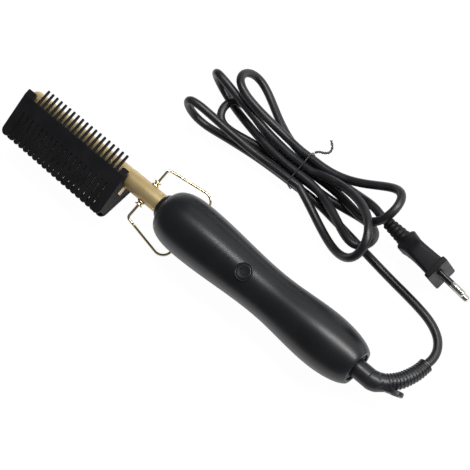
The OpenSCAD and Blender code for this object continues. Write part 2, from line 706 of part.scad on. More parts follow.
// Middle of the tie, measured from the handle's rear end
tie = [-110, 72.8, 0];
table_z = cord_d / 2 + 0.05;
tie_d = 0.8;
tie_lift = tie_d + 0.15;
col_step = 6.2;
row_step = 6.2;
waist = 7;
function slot(c, r) = [(c - 2.5) * col_step, table_z + r * row_step];
function lift(x) = tie_lift * exp(-pow(x / 26, 2));
// One fold of the hank: side, first and last slot [column, row], reach, half width, where its tip
// lies across and up, how far it is rolled, and how late it opens
folds = [
    [-1, [1, 0], [1, 1], 77.41, 9.65, -12.31, 18.27, 257.13, 3.16],
    [1, [1, 1], [3, 1], 62.16, 11.26, -18.17, 29.56, 215.37, 0.96],
    [-1, [3, 1], [2, 1], 76.84, 11.15, 14.08, 15.36, 90.86, 3.4],
    [1, [2, 1], [2, 0], 59.16, 10.55, -11.14, 15.78, 145.32, 2.3],
    [-1, [2, 0], [3, 0], 61.12, 7.06, 2.45, 10.01, 179.03, 3.0],
    [1, [3, 0], [4, 1], 61.86, 10.4, 11.86, 29.4, 169.89, 2.57],
    [-1, [4, 1], [4, 0], 60.67, 9.92, 25.98, 19.38, 134.19, 2.23]
];
fold_rings = 12;
// Rings lie closer together round a fold's tip
function ring_at(i) = let (v = 2 * i / fold_rings - 1) 0.5 + 0.5 * sign(v) * pow(abs(v), 1.4);
function fold_point(f, u) =
    let (q = sin(180 * u), a = f[8], width = f[4] * sqrt(pow(a + 1, a + 1) / pow(a, a)) * pow(q, a) * cos(180 * u),
        s = ease(ease(u)), p0 = slot(f[1][0], f[1][1]), p1 = slot(f[2][0], f[2][1]), m = (p0 + p1) / 2,
        x = waist + f[3] * q, base = p0 + (p1 - p0) * s)
        [f[0] * x, base[0] + (f[5] - m[0]) * pow(q, 1.5) + width * cos(f[7]),
            max(table_z, base[1] + (f[6] - m[1]) * pow(q, 2.2) + width * sin(f[7]) + lift(x))];
function strand_end(c) = tie + [waist, slot(c, 0)[0], slot(c, 0)[1] + lift(waist)];
hank_line = concat([strand_end(1)], [for (f = folds, i = [0:fold_rings]) tie + fold_point(f, ring_at(i))],
    [strand_end(4)]);
// Least gap of the hank to itself and to both leads, on points between its rings
fine_line = [for (i = [0:len(hank_line) - 2], k = [0:3]) hank_line[i] + (hank_line[i + 1] - hank_line[i]) * k / 4];
function run_length(p) = [for (i = 0, s = 0; i < len(p); s = s + (i + 1 < len(p) ? norm(p[i + 1] - p[i]) : 0),
    i = i + 1) s];
fine_run = run_length(fine_line);
hank_gap = min([for (i = [0:len(fine_line) - 1], j = [i + 1:1:len(fine_line) - 1])
    if (fine_run[j] - fine_run[i] > 4 * cord_d) norm(fine_line[i] - fine_line[j])]) - cord_d;

strand_z = table_z + lift(waist);
lead_route = [[26.6, 27.1, 8.76], [26.9, 32.4, 6.7], [25.4, 38, 5], [21.4, 43.2, 3.7], [15.5, 47, 2.9],
    [8.5, 49.5, 2.75], [0, 51.2, 2.75], [-10, 52.6, 2.75], [-20, 53.8, 2.75], [-32, 55.4, 2.75], [-50, 58, 2.75],
    [-69, 60.8, 2.9], [-86, 63, 3.2], [-95, 63.5, strand_z], [-103, 63.5, strand_z]];
plug_at = [-42.5, 77.6, 18.4];
plug_route = [[-103, 82.1, strand_z], [-95, 82.1, strand_z], [-86, 82.1, 3.8], [-77, 82, 5.2], [-69, 81.8, 8.4],
    [-61.5, 81.2, 12.9], [-55, 80.2, 16.5], [-48.6, 78.6, 18.4], plug_at];
function gap_to(route) = min([for (p = fine_line, q = smooth(route, 4))
    if (norm(p - strand_end(1)) > 4 * cord_d && norm(p - strand_end(4)) > 4 * cord_d) norm(p - q)]) - cord_d;
echo(hank_length = fine_run[len(fine_run) - 1], lead_lengths = [route_length(lead_route), route_length(plug_route)],
    least_gap_to_itself = hank_gap, gap_to_leads = [gap_to(lead_route), gap_to(plug_route)]);
function route_length(p) = let (s = run_length(p)) s[len(s) - 1];
module cord_lead() color("#161618") cord_seat() cord_tube(smooth(lead_route, 1), cord_d);
module cord_hank() color("#19191b") cord_seat() cord_tube(hank_line, cord_d, 6);
module plug_lead() color("#161618") cord_seat() cord_tube(smooth(plug_route, 1), cord_d);

// Tie: a wire ring round the strands, its corners rounded, with a twisted tail
tie_w = 3 * col_step + cord_d + 0.4;
tie_h = row_step + cord_d + 0.4;
tie_mid = table_z + tie_lift + row_step / 2;
tie_corner = 2.6;
module twist_tie() color("#202022") cord_seat() translate([tie[0], tie[1], tie_mid]) rotate([90, 0, 90]) {
    a = (tie_w + tie_d) / 2;
    b = (tie_h + tie_d) / 2;
    for (i = [0, 1], j = [0, 1]) mirror([i, 0, 0]) mirror([0, j, 0]) {
        translate([a - tie_corner, b - tie_corner, 0]) rotate_extrude(angle = 90)
            translate([tie_corner, 0]) circle(d = tie_d, $fn = 16);
        translate([0, b, 0]) rotate([0, 90, 0]) cylinder(d = tie_d, h = a - tie_corner, $fn = 16);
        translate([a, 0, 0]) rotate([-90, 0, 0]) cylinder(d = tie_d, h = b - tie_corner, $fn = 16);
    }
}
tail_route = [[tie[0], tie[1] + tie_w / 2 + 1.5, tie_mid + 3], [tie[0] + 2, tie[1] + 15.6, tie_mid + 3.2],
    [tie[0] + 5, tie[1] + 17, tie_mid + 3], [tie[0] + 7, tie[1] + 19.5, tie_mid + 2.4],
    [tie[0] + 6, tie[1] + 23, tie_mid + 2], [tie[0] + 2.5, tie[1] + 26, tie_mid + 2]];
module tie_tail() color("#202022") cord_seat() {
    mid = smooth(tail_route, 5);
    t = tangents(mid);
    n = normals(t, [0, 0, 1]);
    for (s = [0, 180])
        sweep([for (i = [0:len(mid) - 1]) let (a = 65 * i + s)
            mid[i] + 0.48 * (cos(a) * n[i] + sin(a) * cross(t[i], n[i]))], [for (p = mid) tie_d / 2], 6);
}

// ---- Plug ----

relief_l = 15;
plug_turn = -6.5;
plug_roll = 6;
sleeve_step = 0.2;
sleeve_end = relief_l + plug_l + 10;
module plug_seat() cord_seat() translate(plug_at) rotate([0, 0, plug_turn]) rotate([plug_roll, 0, 0]) children();
module plug_body() color("#17171a") plug_seat() {
    difference() {
        intersection() {
            translate([relief_l, 0, -plug_h / 2]) linear_extrude(plug_h) polygon(concat(
                [for (p = plug_side) p], [for (i = [len(plug_side) - 1:-1:0]) [plug_side[i][0], -plug_side[i][1]]]));
            translate([relief_l, 10, 0]) rotate([90, 0, 0]) linear_extrude(20) polygon([[0, -6.5], [0, 6.5],
                [5, 12], [11, plug_h / 2], [plug_l, plug_h / 2], [plug_l, -plug_h / 2], [11, -plug_h / 2], [5, -12]]);
        }
        for (s = [-1, 1]) translate([0, 0, s * pin_gap / 2]) rod_x(relief_l + plug_l - 8, 60, pin_d / 2);
    }
    relief();
}
// Half thickness of the plug's body along its length: ears, concave grips and the front tabs
plug_side = [[0, 4.5], [1, 6.4], [2.6, 6.9], [4, 6.5], [7, 5.9], [12, 5.6], [18, 5.8], [24, 6.2], [plug_l - 3, 6.5],
    [plug_l - 2.8, 7.6], [plug_l, 7.6]];
module relief() for (i = [0:4]) {
    rod_x(i * 3, i * 3 + 2.2, 3.9 + i * 0.25);
    rod_x(i * 3 + 2.1, i * 3 + 3.1, 3.2 + i * 0.25);
}
module plug_pins() color("#c7c9cc") plug_seat() for (s = [-1, 1]) translate([0, 0, s * pin_gap / 2]) {
    rod_x(relief_l + plug_l - 8, relief_l + plug_l + pin_l - 1, pin_d / 2 - 0.4);
    rod_x(sleeve_end, relief_l + plug_l + pin_l - 0.8, pin_d / 2);
    translate([relief_l + plug_l + pin_l - 0.8, 0, 0]) rotate([0, 90, 0])
        cylinder(r1 = pin_d / 2, r2 = pin_d / 2 - 0.8, h = 0.8);
}
module pin_sleeves() color("#1a1a1c") plug_seat() for (s = [-1, 1]) translate([0, 0, s * pin_gap / 2])
    tube_x(relief_l + plug_l - 8, sleeve_end - seat_gap, pin_d / 2 - sleeve_step, pin_d / 2 - 0.4 + 0.02);

barrel();
barrel_tip_cap();
metal_comb();
sleeve();
guard_front();
guard_back();
guard_screws();
heater_plate();
heater_clamps();
temperature_sensor();
thermal_fuse();
heater_leads();
front_collar();
insulator_bush();
handle_top_shell();
handle_bottom_shell();
shell_screws();
power_button();
button_ring();
push_switch();
switch_plunger();
control_board();
board_components();
indicator_lamps();
light_pipe();
stand_wire();
stand_ferrules();
tail_ring();
strain_relief();
supply_wires();
cord_lead();
cord_hank();
plug_lead();
twist_tie();
tie_tail();
plug_body();
plug_pins();
pin_sleeves();
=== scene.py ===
"""Looks of an electric hot comb: the finish of each surface, the cord at its real length, and the shells,
guard, boot and plug as modelled meshes. Lengths are in metres, written as a number of MM where small."""
import math

import bmesh
import bpy
from mathutils import Matrix, Vector


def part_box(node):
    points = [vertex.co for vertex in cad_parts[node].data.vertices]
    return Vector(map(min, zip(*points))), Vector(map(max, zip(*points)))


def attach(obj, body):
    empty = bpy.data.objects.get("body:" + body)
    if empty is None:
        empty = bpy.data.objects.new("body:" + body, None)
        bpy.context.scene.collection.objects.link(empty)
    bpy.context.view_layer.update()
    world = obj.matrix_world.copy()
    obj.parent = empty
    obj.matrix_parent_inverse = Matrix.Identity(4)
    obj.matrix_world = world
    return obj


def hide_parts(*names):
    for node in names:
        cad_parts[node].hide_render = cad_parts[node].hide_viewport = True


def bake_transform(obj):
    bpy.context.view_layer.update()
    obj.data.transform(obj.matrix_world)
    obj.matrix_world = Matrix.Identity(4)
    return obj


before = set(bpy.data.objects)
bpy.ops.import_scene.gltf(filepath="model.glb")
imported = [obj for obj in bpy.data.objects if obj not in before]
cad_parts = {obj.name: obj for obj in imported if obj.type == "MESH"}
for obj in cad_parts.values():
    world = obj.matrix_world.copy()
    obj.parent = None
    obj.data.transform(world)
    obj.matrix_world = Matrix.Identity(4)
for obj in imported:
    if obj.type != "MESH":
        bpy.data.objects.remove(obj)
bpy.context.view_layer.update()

bl_info = {
    "name": "Hot comb",
    "version": (1, 0, 0),
    "blender": (4, 5, 0),
    "location": "3D View > Sidebar > Hot comb",
    "description": "Builds the visible pieces of an electric hot comb over its fixed frame",
    "category": "Object",
}

MM = 0.001

# The comb's own frame has x = 0 at the barrel's tip and its x axis along the barrel. The cord's frame
# has x = 0 at the handle's rear end and z = 0 on the table.
TIP_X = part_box("barrel_tip_cap")[0].x
END_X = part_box("handle_top_shell")[1].x
BARREL_LOW, BARREL_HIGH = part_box("barrel")
AXIS_Y = (BARREL_LOW.y + BARREL_HIGH.y) / 2
AXIS_Z = (BARREL_LOW.z + BARREL_HIGH.z) / 2
COMB = Vector((TIP_X, AXIS_Y, AXIS_Z))
TABLE = Vector((END_X, AXIS_Y, 0))


def span(node):
    """Lowest and highest corner of a CAD node in the comb's own frame."""
    low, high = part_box(node)
    return low - COMB, high - COMB


def middle(node, axis):
    low, high = span(node)
    return (low[axis] + high[axis]) / 2


BARREL_R = (BARREL_HIGH.y - BARREL_LOW.y) / 2
SLEEVE_R = (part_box("sleeve")[1].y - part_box("sleeve")[0].y) / 2
SLEEVE_X0 = span("sleeve")[0].x
SLEEVE_X1 = span("sleeve")[1].x
COLLAR_X = span("front_collar")[0].x
BODY_X = span("handle_top_shell")[0].x
REAR_X = END_X - TIP_X
PIVOT_X = middle("stand_ferrules", 0)
BUTTON_X = middle("power_button", 0)
LAMPS_X = middle("indicator_lamps", 0)
GUARD_X0 = span("guard_front")[0].x
GUARD_X1 = span("guard_front")[1].x
NECK_X0 = span("strain_relief")[0].x


# ---- Sizes and colours a user would change ----


def length(name, description, default):
    settings = {"unit": "LENGTH", "precision": 5}
    return bpy.props.FloatProperty(name=name, description=description, default=default, **settings)


def number(name, description, default):
    return bpy.props.FloatProperty(name=name, description=description, default=default)


def count(name, description, default, least=4):
    return bpy.props.IntProperty(name=name, description=description, default=default, min=least)


def colour(name, description, default):
    """A colour from its sRGB hex value."""
    return bpy.props.FloatVectorProperty(
        name=name, description=description, default=linear(default), size=4, subtype="COLOR", min=0, max=1
    )


def linear(hexadecimal):
    """sRGB hex to a linear RGBA colour."""
    parts = [int(hexadecimal[i : i + 2], 16) / 255 for i in (1, 3, 5)]
    return tuple(p / 12.92 if p <= 0.04045 else ((p + 0.055) / 1.055) ** 2.4 for p in parts) + (1.0,)


class WorkingEnd(bpy.types.PropertyGroup):
    gold: colour("Gold", "Anodised barrel and sleeve", "#d9c292")
    gold_deep: colour("Deep gold", "Darker patches of the anodising", "#c9b07c")
    comb_brass: colour("Comb brass", "Lacquered metal comb", "#f6ead0")
    tooth_length: length("Metal tooth", "Length of the metal teeth", 14 * MM)
    tooth_width: length("Tooth width", "Width of a metal tooth at its root", 2.2 * MM)
    spine_depth: length("Spine depth", "Depth of the metal spine below the barrel", 6.2 * MM)


class Guard(bpy.types.PropertyGroup):
    plastic: colour("Plastic", "Matte black guard", "#0e0e10")
    plastic_light: colour("Plastic, light", "Lighter flecks of the guard's grain", "#17171a")
    slits: count("Slits", "Slits between the lower teeth", 18)
    pitch: length("Slit spacing", "Spacing of the slits", 4.72 * MM)
    slit: length("Slit width", "Width of a slit", 0.9 * MM)
    slit_top: length("Slit top", "Depth of the slits' upper ends below the axis", 12.2 * MM)
    teeth: count("Upper teeth", "Short upper teeth on each half", 19)
    tooth_pitch: length("Upper spacing", "Spacing of the upper teeth", 4.18 * MM)
    first_tooth: length("First upper tooth", "From the barrel's tip to the first upper tooth", 14.78 * MM)
    wall: length("Wall", "Wall of the guard", 1.6 * MM)
    edge: length("Edge", "Chamfer that catches the light along every edge", 0.22 * MM)


class Handle(bpy.types.PropertyGroup):
    coating: colour("Coating", "Soft-touch coating", "#111214")
    coating_light: colour("Coating, light", "Lighter clouds of the coating", "#1a1b1e")
    trim: colour("Trim", "Collar and button ring", "#151518")
    bulge: length("Front bulge", "Radius of the front bulge", 18.9 * MM)
    bulge_at: length("Front bulge at", "Distance from the collar to the front bulge", 27 * MM)
    waist: length("Waist", "Radius of the waist", 15.3 * MM)
    waist_at: length("Waist at", "Distance from the collar to the waist", 92 * MM)
    tail: length("Rear bulge", "Radius of the rear bulge", 17.4 * MM)
    tail_at: length("Rear bulge at", "Distance from the collar to the rear bulge", 132.5 * MM)
    wall: length("Wall", "Wall of the shells", 2.2 * MM)


class Stand(bpy.types.PropertyGroup):
    brass: colour("Brass", "Polished brass of wire and ferrules", "#efe0bb")
    wire: length("Wire", "Radius of the wire", 0.9 * MM)
    half: length("Half width", "Distance from the axis to the corner of the wire", 19.8 * MM)
    reach: length("Reach", "Distance from pivot to crossbar", 35.2 * MM)
    bend: length("Bend", "Radius of the bends beside the crossbar", 7 * MM)


class Cord(bpy.types.PropertyGroup):
    vinyl: colour("Vinyl", "Cord and boot", "#121214")
    vinyl_light: colour("Vinyl, light", "Dusty patches of the vinyl", "#26272b")
    tie: colour("Tie", "Coating of the twist tie", "#1e1e21")
    diameter: length("Diameter", "Diameter of the cord", 5.4 * MM)
    real_length: length("Length", "Length of the cord from boot to plug", 1.38)
    ribs: count("Ribs", "Ribs on the boot", 13, least=3)


class Plug(bpy.types.PropertyGroup):
    vinyl: colour("Vinyl", "Moulded body of the plug", "#101012")
    vinyl_light: colour("Vinyl, light", "Lighter flecks of the plug", "#1a1a1d")
    nickel: colour("Nickel", "Bare tips of the pins", "#cfcbc4")
    pin_spacing: length("Pin spacing", "Spacing of the two pins", 18.6 * MM)
    pin_radius: length("Pin radius", "Radius of a pin", 2 * MM)


class Stage(bpy.types.PropertyGroup):
    paper: colour("Paper", "White floor", "#ffffff")
    lens: number("Lens", "Focal length in millimetres on a 36 mm frame", 83.8)
    distance: length("Distance", "Distance from the camera to the middle of the view", 0.665)
    key_power: number("Key", "Power of the long strip lamp in watts", 17.0)
    side_power: number("Side", "Power of the large side lamp in watts", 2.8)


# ---- Mesh tools ----


def finished(mesh, angle=32):
    """Merges doubles, turns the faces outwards and shades them smooth up to an edge angle in degrees."""
    bm = bmesh.new()
    bm.from_mesh(mesh)
    bmesh.ops.remove_doubles(bm, verts=bm.verts, dist=0.001 * MM)
    bmesh.ops.dissolve_degenerate(bm, dist=0.0001 * MM, edges=bm.edges)
    bmesh.ops.recalc_face_normals(bm, faces=bm.faces)
    bm.to_mesh(mesh)
    bm.free()
    mesh.polygons.foreach_set("use_smooth", [True] * len(mesh.polygons))
    mesh.set_sharp_from_angle(angle=math.radians(angle))
    return mesh


def moved(mesh, *matrices):
    for matrix in matrices:
        mesh.transform(matrix)
    return mesh


def to(x, y, z):
    return Matrix.Translation((x, y, z))


def turn(degrees, axis):
    return Matrix.Rotation(math.radians(degrees), 4, axis)


def piece(name, mesh, finish, replaces, origin=COMB, angle=32, body="root"):
    """Puts a mesh made in the comb's or the cord's own frame into the row frame, riding on its body."""
    finished(moved(mesh, Matrix.Translation(origin)), angle)
    mesh.name = name
    mesh.materials.clear()
    mesh.materials.append(finish)
    obj = bpy.data.objects.new(name, mesh)
    bpy.context.scene.collection.objects.link(obj)
    if body:
        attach(obj, body)
    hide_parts(*replaces)
    return obj


def from_faces(name, points, faces):
    mesh = bpy.data.meshes.new(name)
    mesh.from_pydata(points, [], faces)
    return mesh


def joined(name, *meshes):
    bm = bmesh.new()
    for mesh in meshes:
        bm.from_mesh(mesh)
    whole = bpy.data.meshes.new(name)
    bm.to_mesh(whole)
    bm.free()
    return whole


def stand_in(mesh):
    obj = bpy.data.objects.new(mesh.name, mesh)
    bpy.context.scene.collection.objects.link(obj)
    return obj


def cut(mesh, *others):
    """The mesh after each of the others has been cut from it."""
    obj = stand_in(finished(mesh))
    helpers = [stand_in(finished(other)) for other in others]
    for helper in helpers:
        modifier = obj.modifiers.new("cut", "BOOLEAN")
        modifier.operation = "DIFFERENCE"
        modifier.solver = "EXACT"
        modifier.object = helper
    return evaluated(obj, helpers)


def evaluated(obj, helpers):
    """The plain mesh of an object with its modifiers; the object and its helpers are then removed."""
    mesh = bpy.data.meshes.new_from_object(obj.evaluated_get(bpy.context.evaluated_depsgraph_get()))
    obj.modifiers.clear()
    for used in [obj, *helpers]:
        bpy.data.objects.remove(used)
    return mesh


def rounded(corners, steps=4):
    """Outline through (x, y, fillet) corners, each rounded by its fillet; corners without one stay sharp."""
    outline = []
    count = len(corners)
    for i, (x, y, *fillet) in enumerate(corners):
        here = Vector((x, y))
        if not fillet:
            outline.append(here)
            continue
        before = Vector(corners[i - 1][:2]) - here
        after = Vector(corners[(i + 1) % count][:2]) - here
        reach = fillet[0] / math.tan(before.angle(after) / 2)
        a = here + before.normalized() * reach
        b = here + after.normalized() * reach
        for k in range(steps + 1):
            t = k / steps
            outline.append(a * (1 - t) ** 2 + here * 2 * t * (1 - t) + b * t * t)
    return outline


def arc(centre, radius, start, end, steps):
    angles = [math.radians(start + (end - start) * k / steps) for k in range(steps + 1)]
    return [(centre[0] + radius * math.cos(a), centre[1] + radius * math.sin(a)) for a in angles]


def lathe(name, outline, sides=96, axis="X", start=0, end=360):
    """Turns a closed outline of (place along the axis, radius) points about the axis."""
    whole = end - start == 360
    columns = sides if whole else sides + 1
    points = []
    for k in range(columns):
        a = math.radians(start + (end - start) * k / sides)
        c, s = math.cos(a), math.sin(a)
        for x, r in outline:
            points.append({"X": (x, r * c, r * s), "Y": (r * s, x, r * c), "Z": (r * c, r * s, x)}[axis])
    n = len(outline)
    faces = []
    for k in range(sides):
        left, right = k * n, ((k + 1) % columns) * n
        faces += [(left + i, left + (i + 1) % n, right + (i + 1) % n, right + i) for i in range(n)]
    if not whole:
        faces += [tuple(range(n)), tuple(range((columns - 1) * n, columns * n))]
    return from_faces(name, points, faces)


def bar(low, high, radius, axis="X"):
    """Round bar along an axis."""
    return lathe("bar", [(low, 0), (low, radius), (high, radius), (high, 0)], 32, axis)


def pillar(name, x, y, low, high, radius, bore=0.0, sides=32):
    """Upright round bar or tube."""
    outline = [(low, bore), (low, radius), (high, radius), (high, bore)]
    return moved(lathe(name, outline, sides, "Z"), to(x, y, 0))


def skinned(name, rings_of_points):
    """Closed skin over rings of equally many points."""
    n = len(rings_of_points[0])
    last = (len(rings_of_points) - 1) * n
    faces = [tuple(reversed(range(n))), tuple(range(last, last + n))]
    for base in range(0, last, n):
        faces += [(base + i, base + (i + 1) % n, base + n + (i + 1) % n, base + n + i) for i in range(n)]
    return from_faces(name, [point for ring in rings_of_points for point in ring], faces)


def plate(name, outline, low, high, edge):
    """Flat plate between two heights with an anticlockwise outline, and all its edges chamfered."""
    points = [Vector(p) for p in outline]
    inset = []
    for i, p in enumerate(points):
        a = (p - points[i - 1]).normalized()
        b = (points[(i + 1) % len(points)] - p).normalized()
        inward_a, inward_b = Vector((-a.y, a.x)), Vector((-b.y, b.x))
        inset.append(p + (inward_a + inward_b) * edge / max(0.3, 1 + inward_a.dot(inward_b)))
    levels = [(inset, low), (points, low + edge), (points, high - edge), (inset, high)]
    return skinned(name, [[(p.x, p.y, z) for p in ring] for ring, z in levels])


def rounded_box(half_a, half_b, corner, steps):
    """Rectangle about the middle with rounded corners, anticlockwise."""
    ring = []
    for a, b, start in ((1, 1, 0), (-1, 1, 90), (-1, -1, 180), (1, -1, 270)):
        ring += arc((a * (half_a - corner), b * (half_b - corner)), corner, start, start + 90, steps)
    return ring


def swell(x, r, width, height, step=15):
    """Quarter round that rises steeply from (x, r) and ends level."""
    angles = [math.radians(a) for a in range(0, 91, step)]
    return [(x + width * (1 - math.cos(a)), r + height * math.sin(a)) for a in angles]


def drop(x, r, width, height):
    """Quarter round that leaves (x, r) level and ends steeply."""
    angles = [math.radians(a) for a in range(0, 91, 15)]
    return [(x + width * math.sin(a), r - height * (1 - math.cos(a))) for a in angles]


def smooth_line(points, pieces):
    """Smooth curve through given points, with so many pieces between neighbours."""
    p = [Vector(q) for q in points]
    line = []
    for i in range(len(p) - 1):
        a, b, c, e = p[max(i - 1, 0)], p[i], p[i + 1], p[min(i + 2, len(p) - 1)]
        for k in range(pieces):
            t = k / pieces
            bent = (2 * a - 5 * b + 4 * c - e) * t**2 + (3 * b - a - 3 * c + e) * t**3
            line.append((2 * b + (c - a) * t + bent) / 2)
    return line + [p[-1]]


def tube(name, path, radii, sides=16, closed=False, first=Vector((0.1, 0, 1))):
    """Tube along a path of ring centres. Its UV map runs once around and, in metres, along the path."""
    n = len(path)
    last = n if closed else n - 1
    tangents = []
    for i in range(n):
        ahead = path[(i + 1) % n] if closed else path[min(i + 1, n - 1)]
        behind = path[i - 1] if closed else path[max(i - 1, 0)]
        tangents.append((ahead - behind).normalized())
    normal = first
    points = []
    for centre, tangent, radius in zip(path, tangents, radii):
        normal = (normal - tangent * normal.dot(tangent)).normalized()
        side = tangent.cross(normal)
        for k in range(sides):
            a = 2 * math.pi * k / sides
            points.append(centre + radius * (math.cos(a) * normal + math.sin(a) * side))
    faces = []
    for i in range(last):
        for k in range(sides):
            a, b = i * sides, ((i + 1) % n) * sides
            faces.append((a + k, a + (k + 1) % sides, b + (k + 1) % sides, b + k))
    mesh = from_faces(name, points, faces)
    run = [0.0]
    for i in range(last):
        run.append(run[-1] + (path[(i + 1) % n] - path[i]).length)
    uvs = mesh.uv_layers.new(name="UVMap").data
    corner = 0
    for i in range(last):
        for k in range(sides):
            for u, v in ((k, i), (k + 1, i), (k + 1, i + 1), (k, i + 1)):
                uvs[corner].uv = (u / sides, run[v])
                corner += 1
    if not closed:
        bm = bmesh.new()
        bm.from_mesh(mesh)
        bm.verts.ensure_lookup_table()
        bm.faces.new([bm.verts[k] for k in range(sides)])
        bm.faces.new([bm.verts[(n - 1) * sides + k] for k in range(sides)])
        bm.to_mesh(mesh)
        bm.free()
    return mesh


# ---- Node tools ----


def add(tree, kind, inputs=None, **settings):
    """Adds a node with its settings, and sets or links its inputs."""
    node = tree.nodes.new(kind)
    for name, value in settings.items():
        setattr(node, name, value)
    for name, value in (inputs or {}).items():
        if isinstance(value, bpy.types.NodeSocket):
            tree.links.new(value, node.inputs[name])
        else:
            node.inputs[name].default_value = value
    return node


def ranged(tree, value, low, high, to_low=0.0, to_high=1.0):
    """A value mapped from one range to another."""
    limits = {"From Min": low, "From Max": high, "To Min": to_low, "To Max": to_high}
    return add(tree, "ShaderNodeMapRange", {"Value": value, **limits}).outputs[0]


def maths(tree, operation, first, second):
    """Two values joined by the operation of this name."""
    return add(tree, "ShaderNodeMath", {0: first, 1: second}, operation=operation).outputs[0]


def noise(tree, place, size, detail):
    """Cloudy noise whose marks are about so many metres across."""
    return add(tree, "ShaderNodeTexNoise", {"Vector": place, "Scale": 1 / size, "Detail": detail}).outputs[0]


def surfaced(tree, shader, share, colours, gloss, height, depth):
    """Gives the shader its colour, mixed from two, its roughness and the relief of its surface."""
    tint = add(tree, "ShaderNodeMix", {0: share, 6: colours[0], 7: colours[1]}, data_type="RGBA").outputs[2]
    bump = add(tree, "ShaderNodeBump", {"Height": height, "Distance": depth, "Strength": 1.0}).outputs[0]
    for name, value in (("Base Color", tint), ("Roughness", gloss), ("Normal", bump)):
        tree.links.new(value, shader.inputs[name])


def geometry_tree(name, sockets):
    """An empty Geometry Nodes tree with named inputs; gives the tree and its input node."""
    tree = bpy.data.node_groups.new(name, "GeometryNodeTree")
    tree.interface.new_socket("Geometry", in_out="OUTPUT", socket_type="NodeSocketGeometry")
    for label, kind in sockets.items():
        tree.interface.new_socket(label, in_out="INPUT", socket_type="NodeSocket" + kind)
    return tree, add(tree, "NodeGroupInput").outputs


def closed_tree(tree, stamped, finish):
    """Ends a tree of copies: they become plain mesh with their finish."""
    real = add(tree, "GeometryNodeRealizeInstances", {"Geometry": stamped.outputs[0]})
    done = add(tree, "GeometryNodeSetMaterial", {"Geometry": real.outputs[0], "Material": finish})
    add(tree, "NodeGroupOutput", {"Geometry": done.outputs[0]})
    return tree


def row_tree():
    """Copies of one small mesh in a straight row."""
    sockets = {"Copy": "Object", "Count": "Int", "Start": "Vector", "Step": "Vector", "Finish": "Material"}
    tree, given = geometry_tree("Row of copies", sockets)
    places = {"Count": given["Count"], "Start Location": given["Start"], "Offset": given["Step"]}
    line = add(tree, "GeometryNodeMeshLine", places)
    copy = add(tree, "GeometryNodeObjectInfo", {"Object": given["Copy"]})
    placed = {"Points": line.outputs[0], "Instance": copy.outputs["Geometry"]}
    stamped = add(tree, "GeometryNodeInstanceOnPoints", placed)
    return closed_tree(tree, stamped, given["Finish"])


def rings_tree():
    """Copies of one ring along a path, square to it, growing or shrinking from its first to its last."""
    sockets = {"Path": "Object", "Copy": "Object", "Count": "Int", "First scale": "Float"}
    sockets |= {"Last scale": "Float", "Finish": "Material"}
    tree, given = geometry_tree("Rings along a path", sockets)
    path = add(tree, "GeometryNodeObjectInfo", {"Object": given["Path"]})
    curve = add(tree, "GeometryNodeMeshToCurve", {"Mesh": path.outputs["Geometry"]})
    spaced = add(tree, "GeometryNodeResampleCurve", {"Curve": curve.outputs[0], "Count": given["Count"]})
    copy = add(tree, "GeometryNodeObjectInfo", {"Object": given["Copy"]})
    tangent = add(tree, "GeometryNodeInputTangent")
    square = add(tree, "FunctionNodeAlignRotationToVector", {"Vector": tangent.outputs[0]}, axis="Z")
    along = add(tree, "GeometryNodeSplineParameter")
    size = ranged(tree, along.outputs["Factor"], 0, 1, given["First scale"], given["Last scale"])
    placed = {"Points": spaced.outputs[0], "Instance": copy.outputs["Geometry"]}
    placed |= {"Rotation": square.outputs[0], "Scale": size}
    stamped = add(tree, "GeometryNodeInstanceOnPoints", placed)
    return closed_tree(tree, stamped, given["Finish"])


def grown(tree, **values):
    """The plain mesh that a Geometry Nodes tree makes; meshes given to it stand in as objects."""
    values = {name.replace("_", " ").capitalize(): value for name, value in values.items()}
    helpers = {n: stand_in(v) for n, v in values.items() if isinstance(v, bpy.types.Mesh)}
    obj = stand_in(bpy.data.meshes.new("grown"))
    modifier = obj.modifiers.new("grow", "NODES")
    modifier.node_group = tree
    for socket in tree.interface.items_tree:
        if socket.name in values:
            modifier[socket.identifier] = helpers.get(socket.name, values[socket.name])
    return evaluated(obj, helpers.values())


def row(copy, count, start, step, finish):
    return grown(row_tree(), copy=copy, count=count, start=start, step=step, finish=finish)


def rings(path, copy, count, first_scale, last_scale, finish):
    return grown(rings_tree(), path=line_mesh(path), copy=copy, count=count, first_scale=first_scale,
                 last_scale=last_scale, finish=finish)


def line_mesh(points):
    mesh = bpy.data.meshes.new("path")
    mesh.from_pydata(points, [(i, i + 1) for i in range(len(points) - 1)], [])
    return mesh


# ---- Finishes ----


def blank(name, **shader_inputs):
    """A new material, its tree, its shader and the place on the piece; underscores stand for spaces."""
    material = bpy.data.materials.new(name)
    material.use_nodes = True
    tree = material.node_tree
    tree.nodes.clear()
    settings = {key.replace("_", " "): value for key, value in shader_inputs.items()}
    shader = add(tree, "ShaderNodeBsdfPrincipled", settings)
    add(tree, "ShaderNodeOutputMaterial", {"Surface": shader.outputs[0]})
    return material, tree, shader, add(tree, "ShaderNodeTexCoord").outputs["Object"]


def moulded(name, base, light, roughness, grain, depth, cloud=14 * MM, swing=0.05, **shader_inputs):
    """Injection-moulded plastic. The eroded grain of the mould breaks up its gloss, and flow and handling
    leave faint clouds a few millimetres across."""
    material, tree, shader, place = blank(name, **shader_inputs)
    fine = noise(tree, place, grain, 4.0)
    wide = noise(tree, place, cloud, 2.0)
    share = ranged(tree, maths(tree, "MULTIPLY", fine, wide), 0.12, 0.42)
    gloss = ranged(tree, wide, 0.3, 0.7, roughness - swing, roughness + swing)
    surfaced(tree, shader, share, (base, light), gloss, fine, depth)
    return material


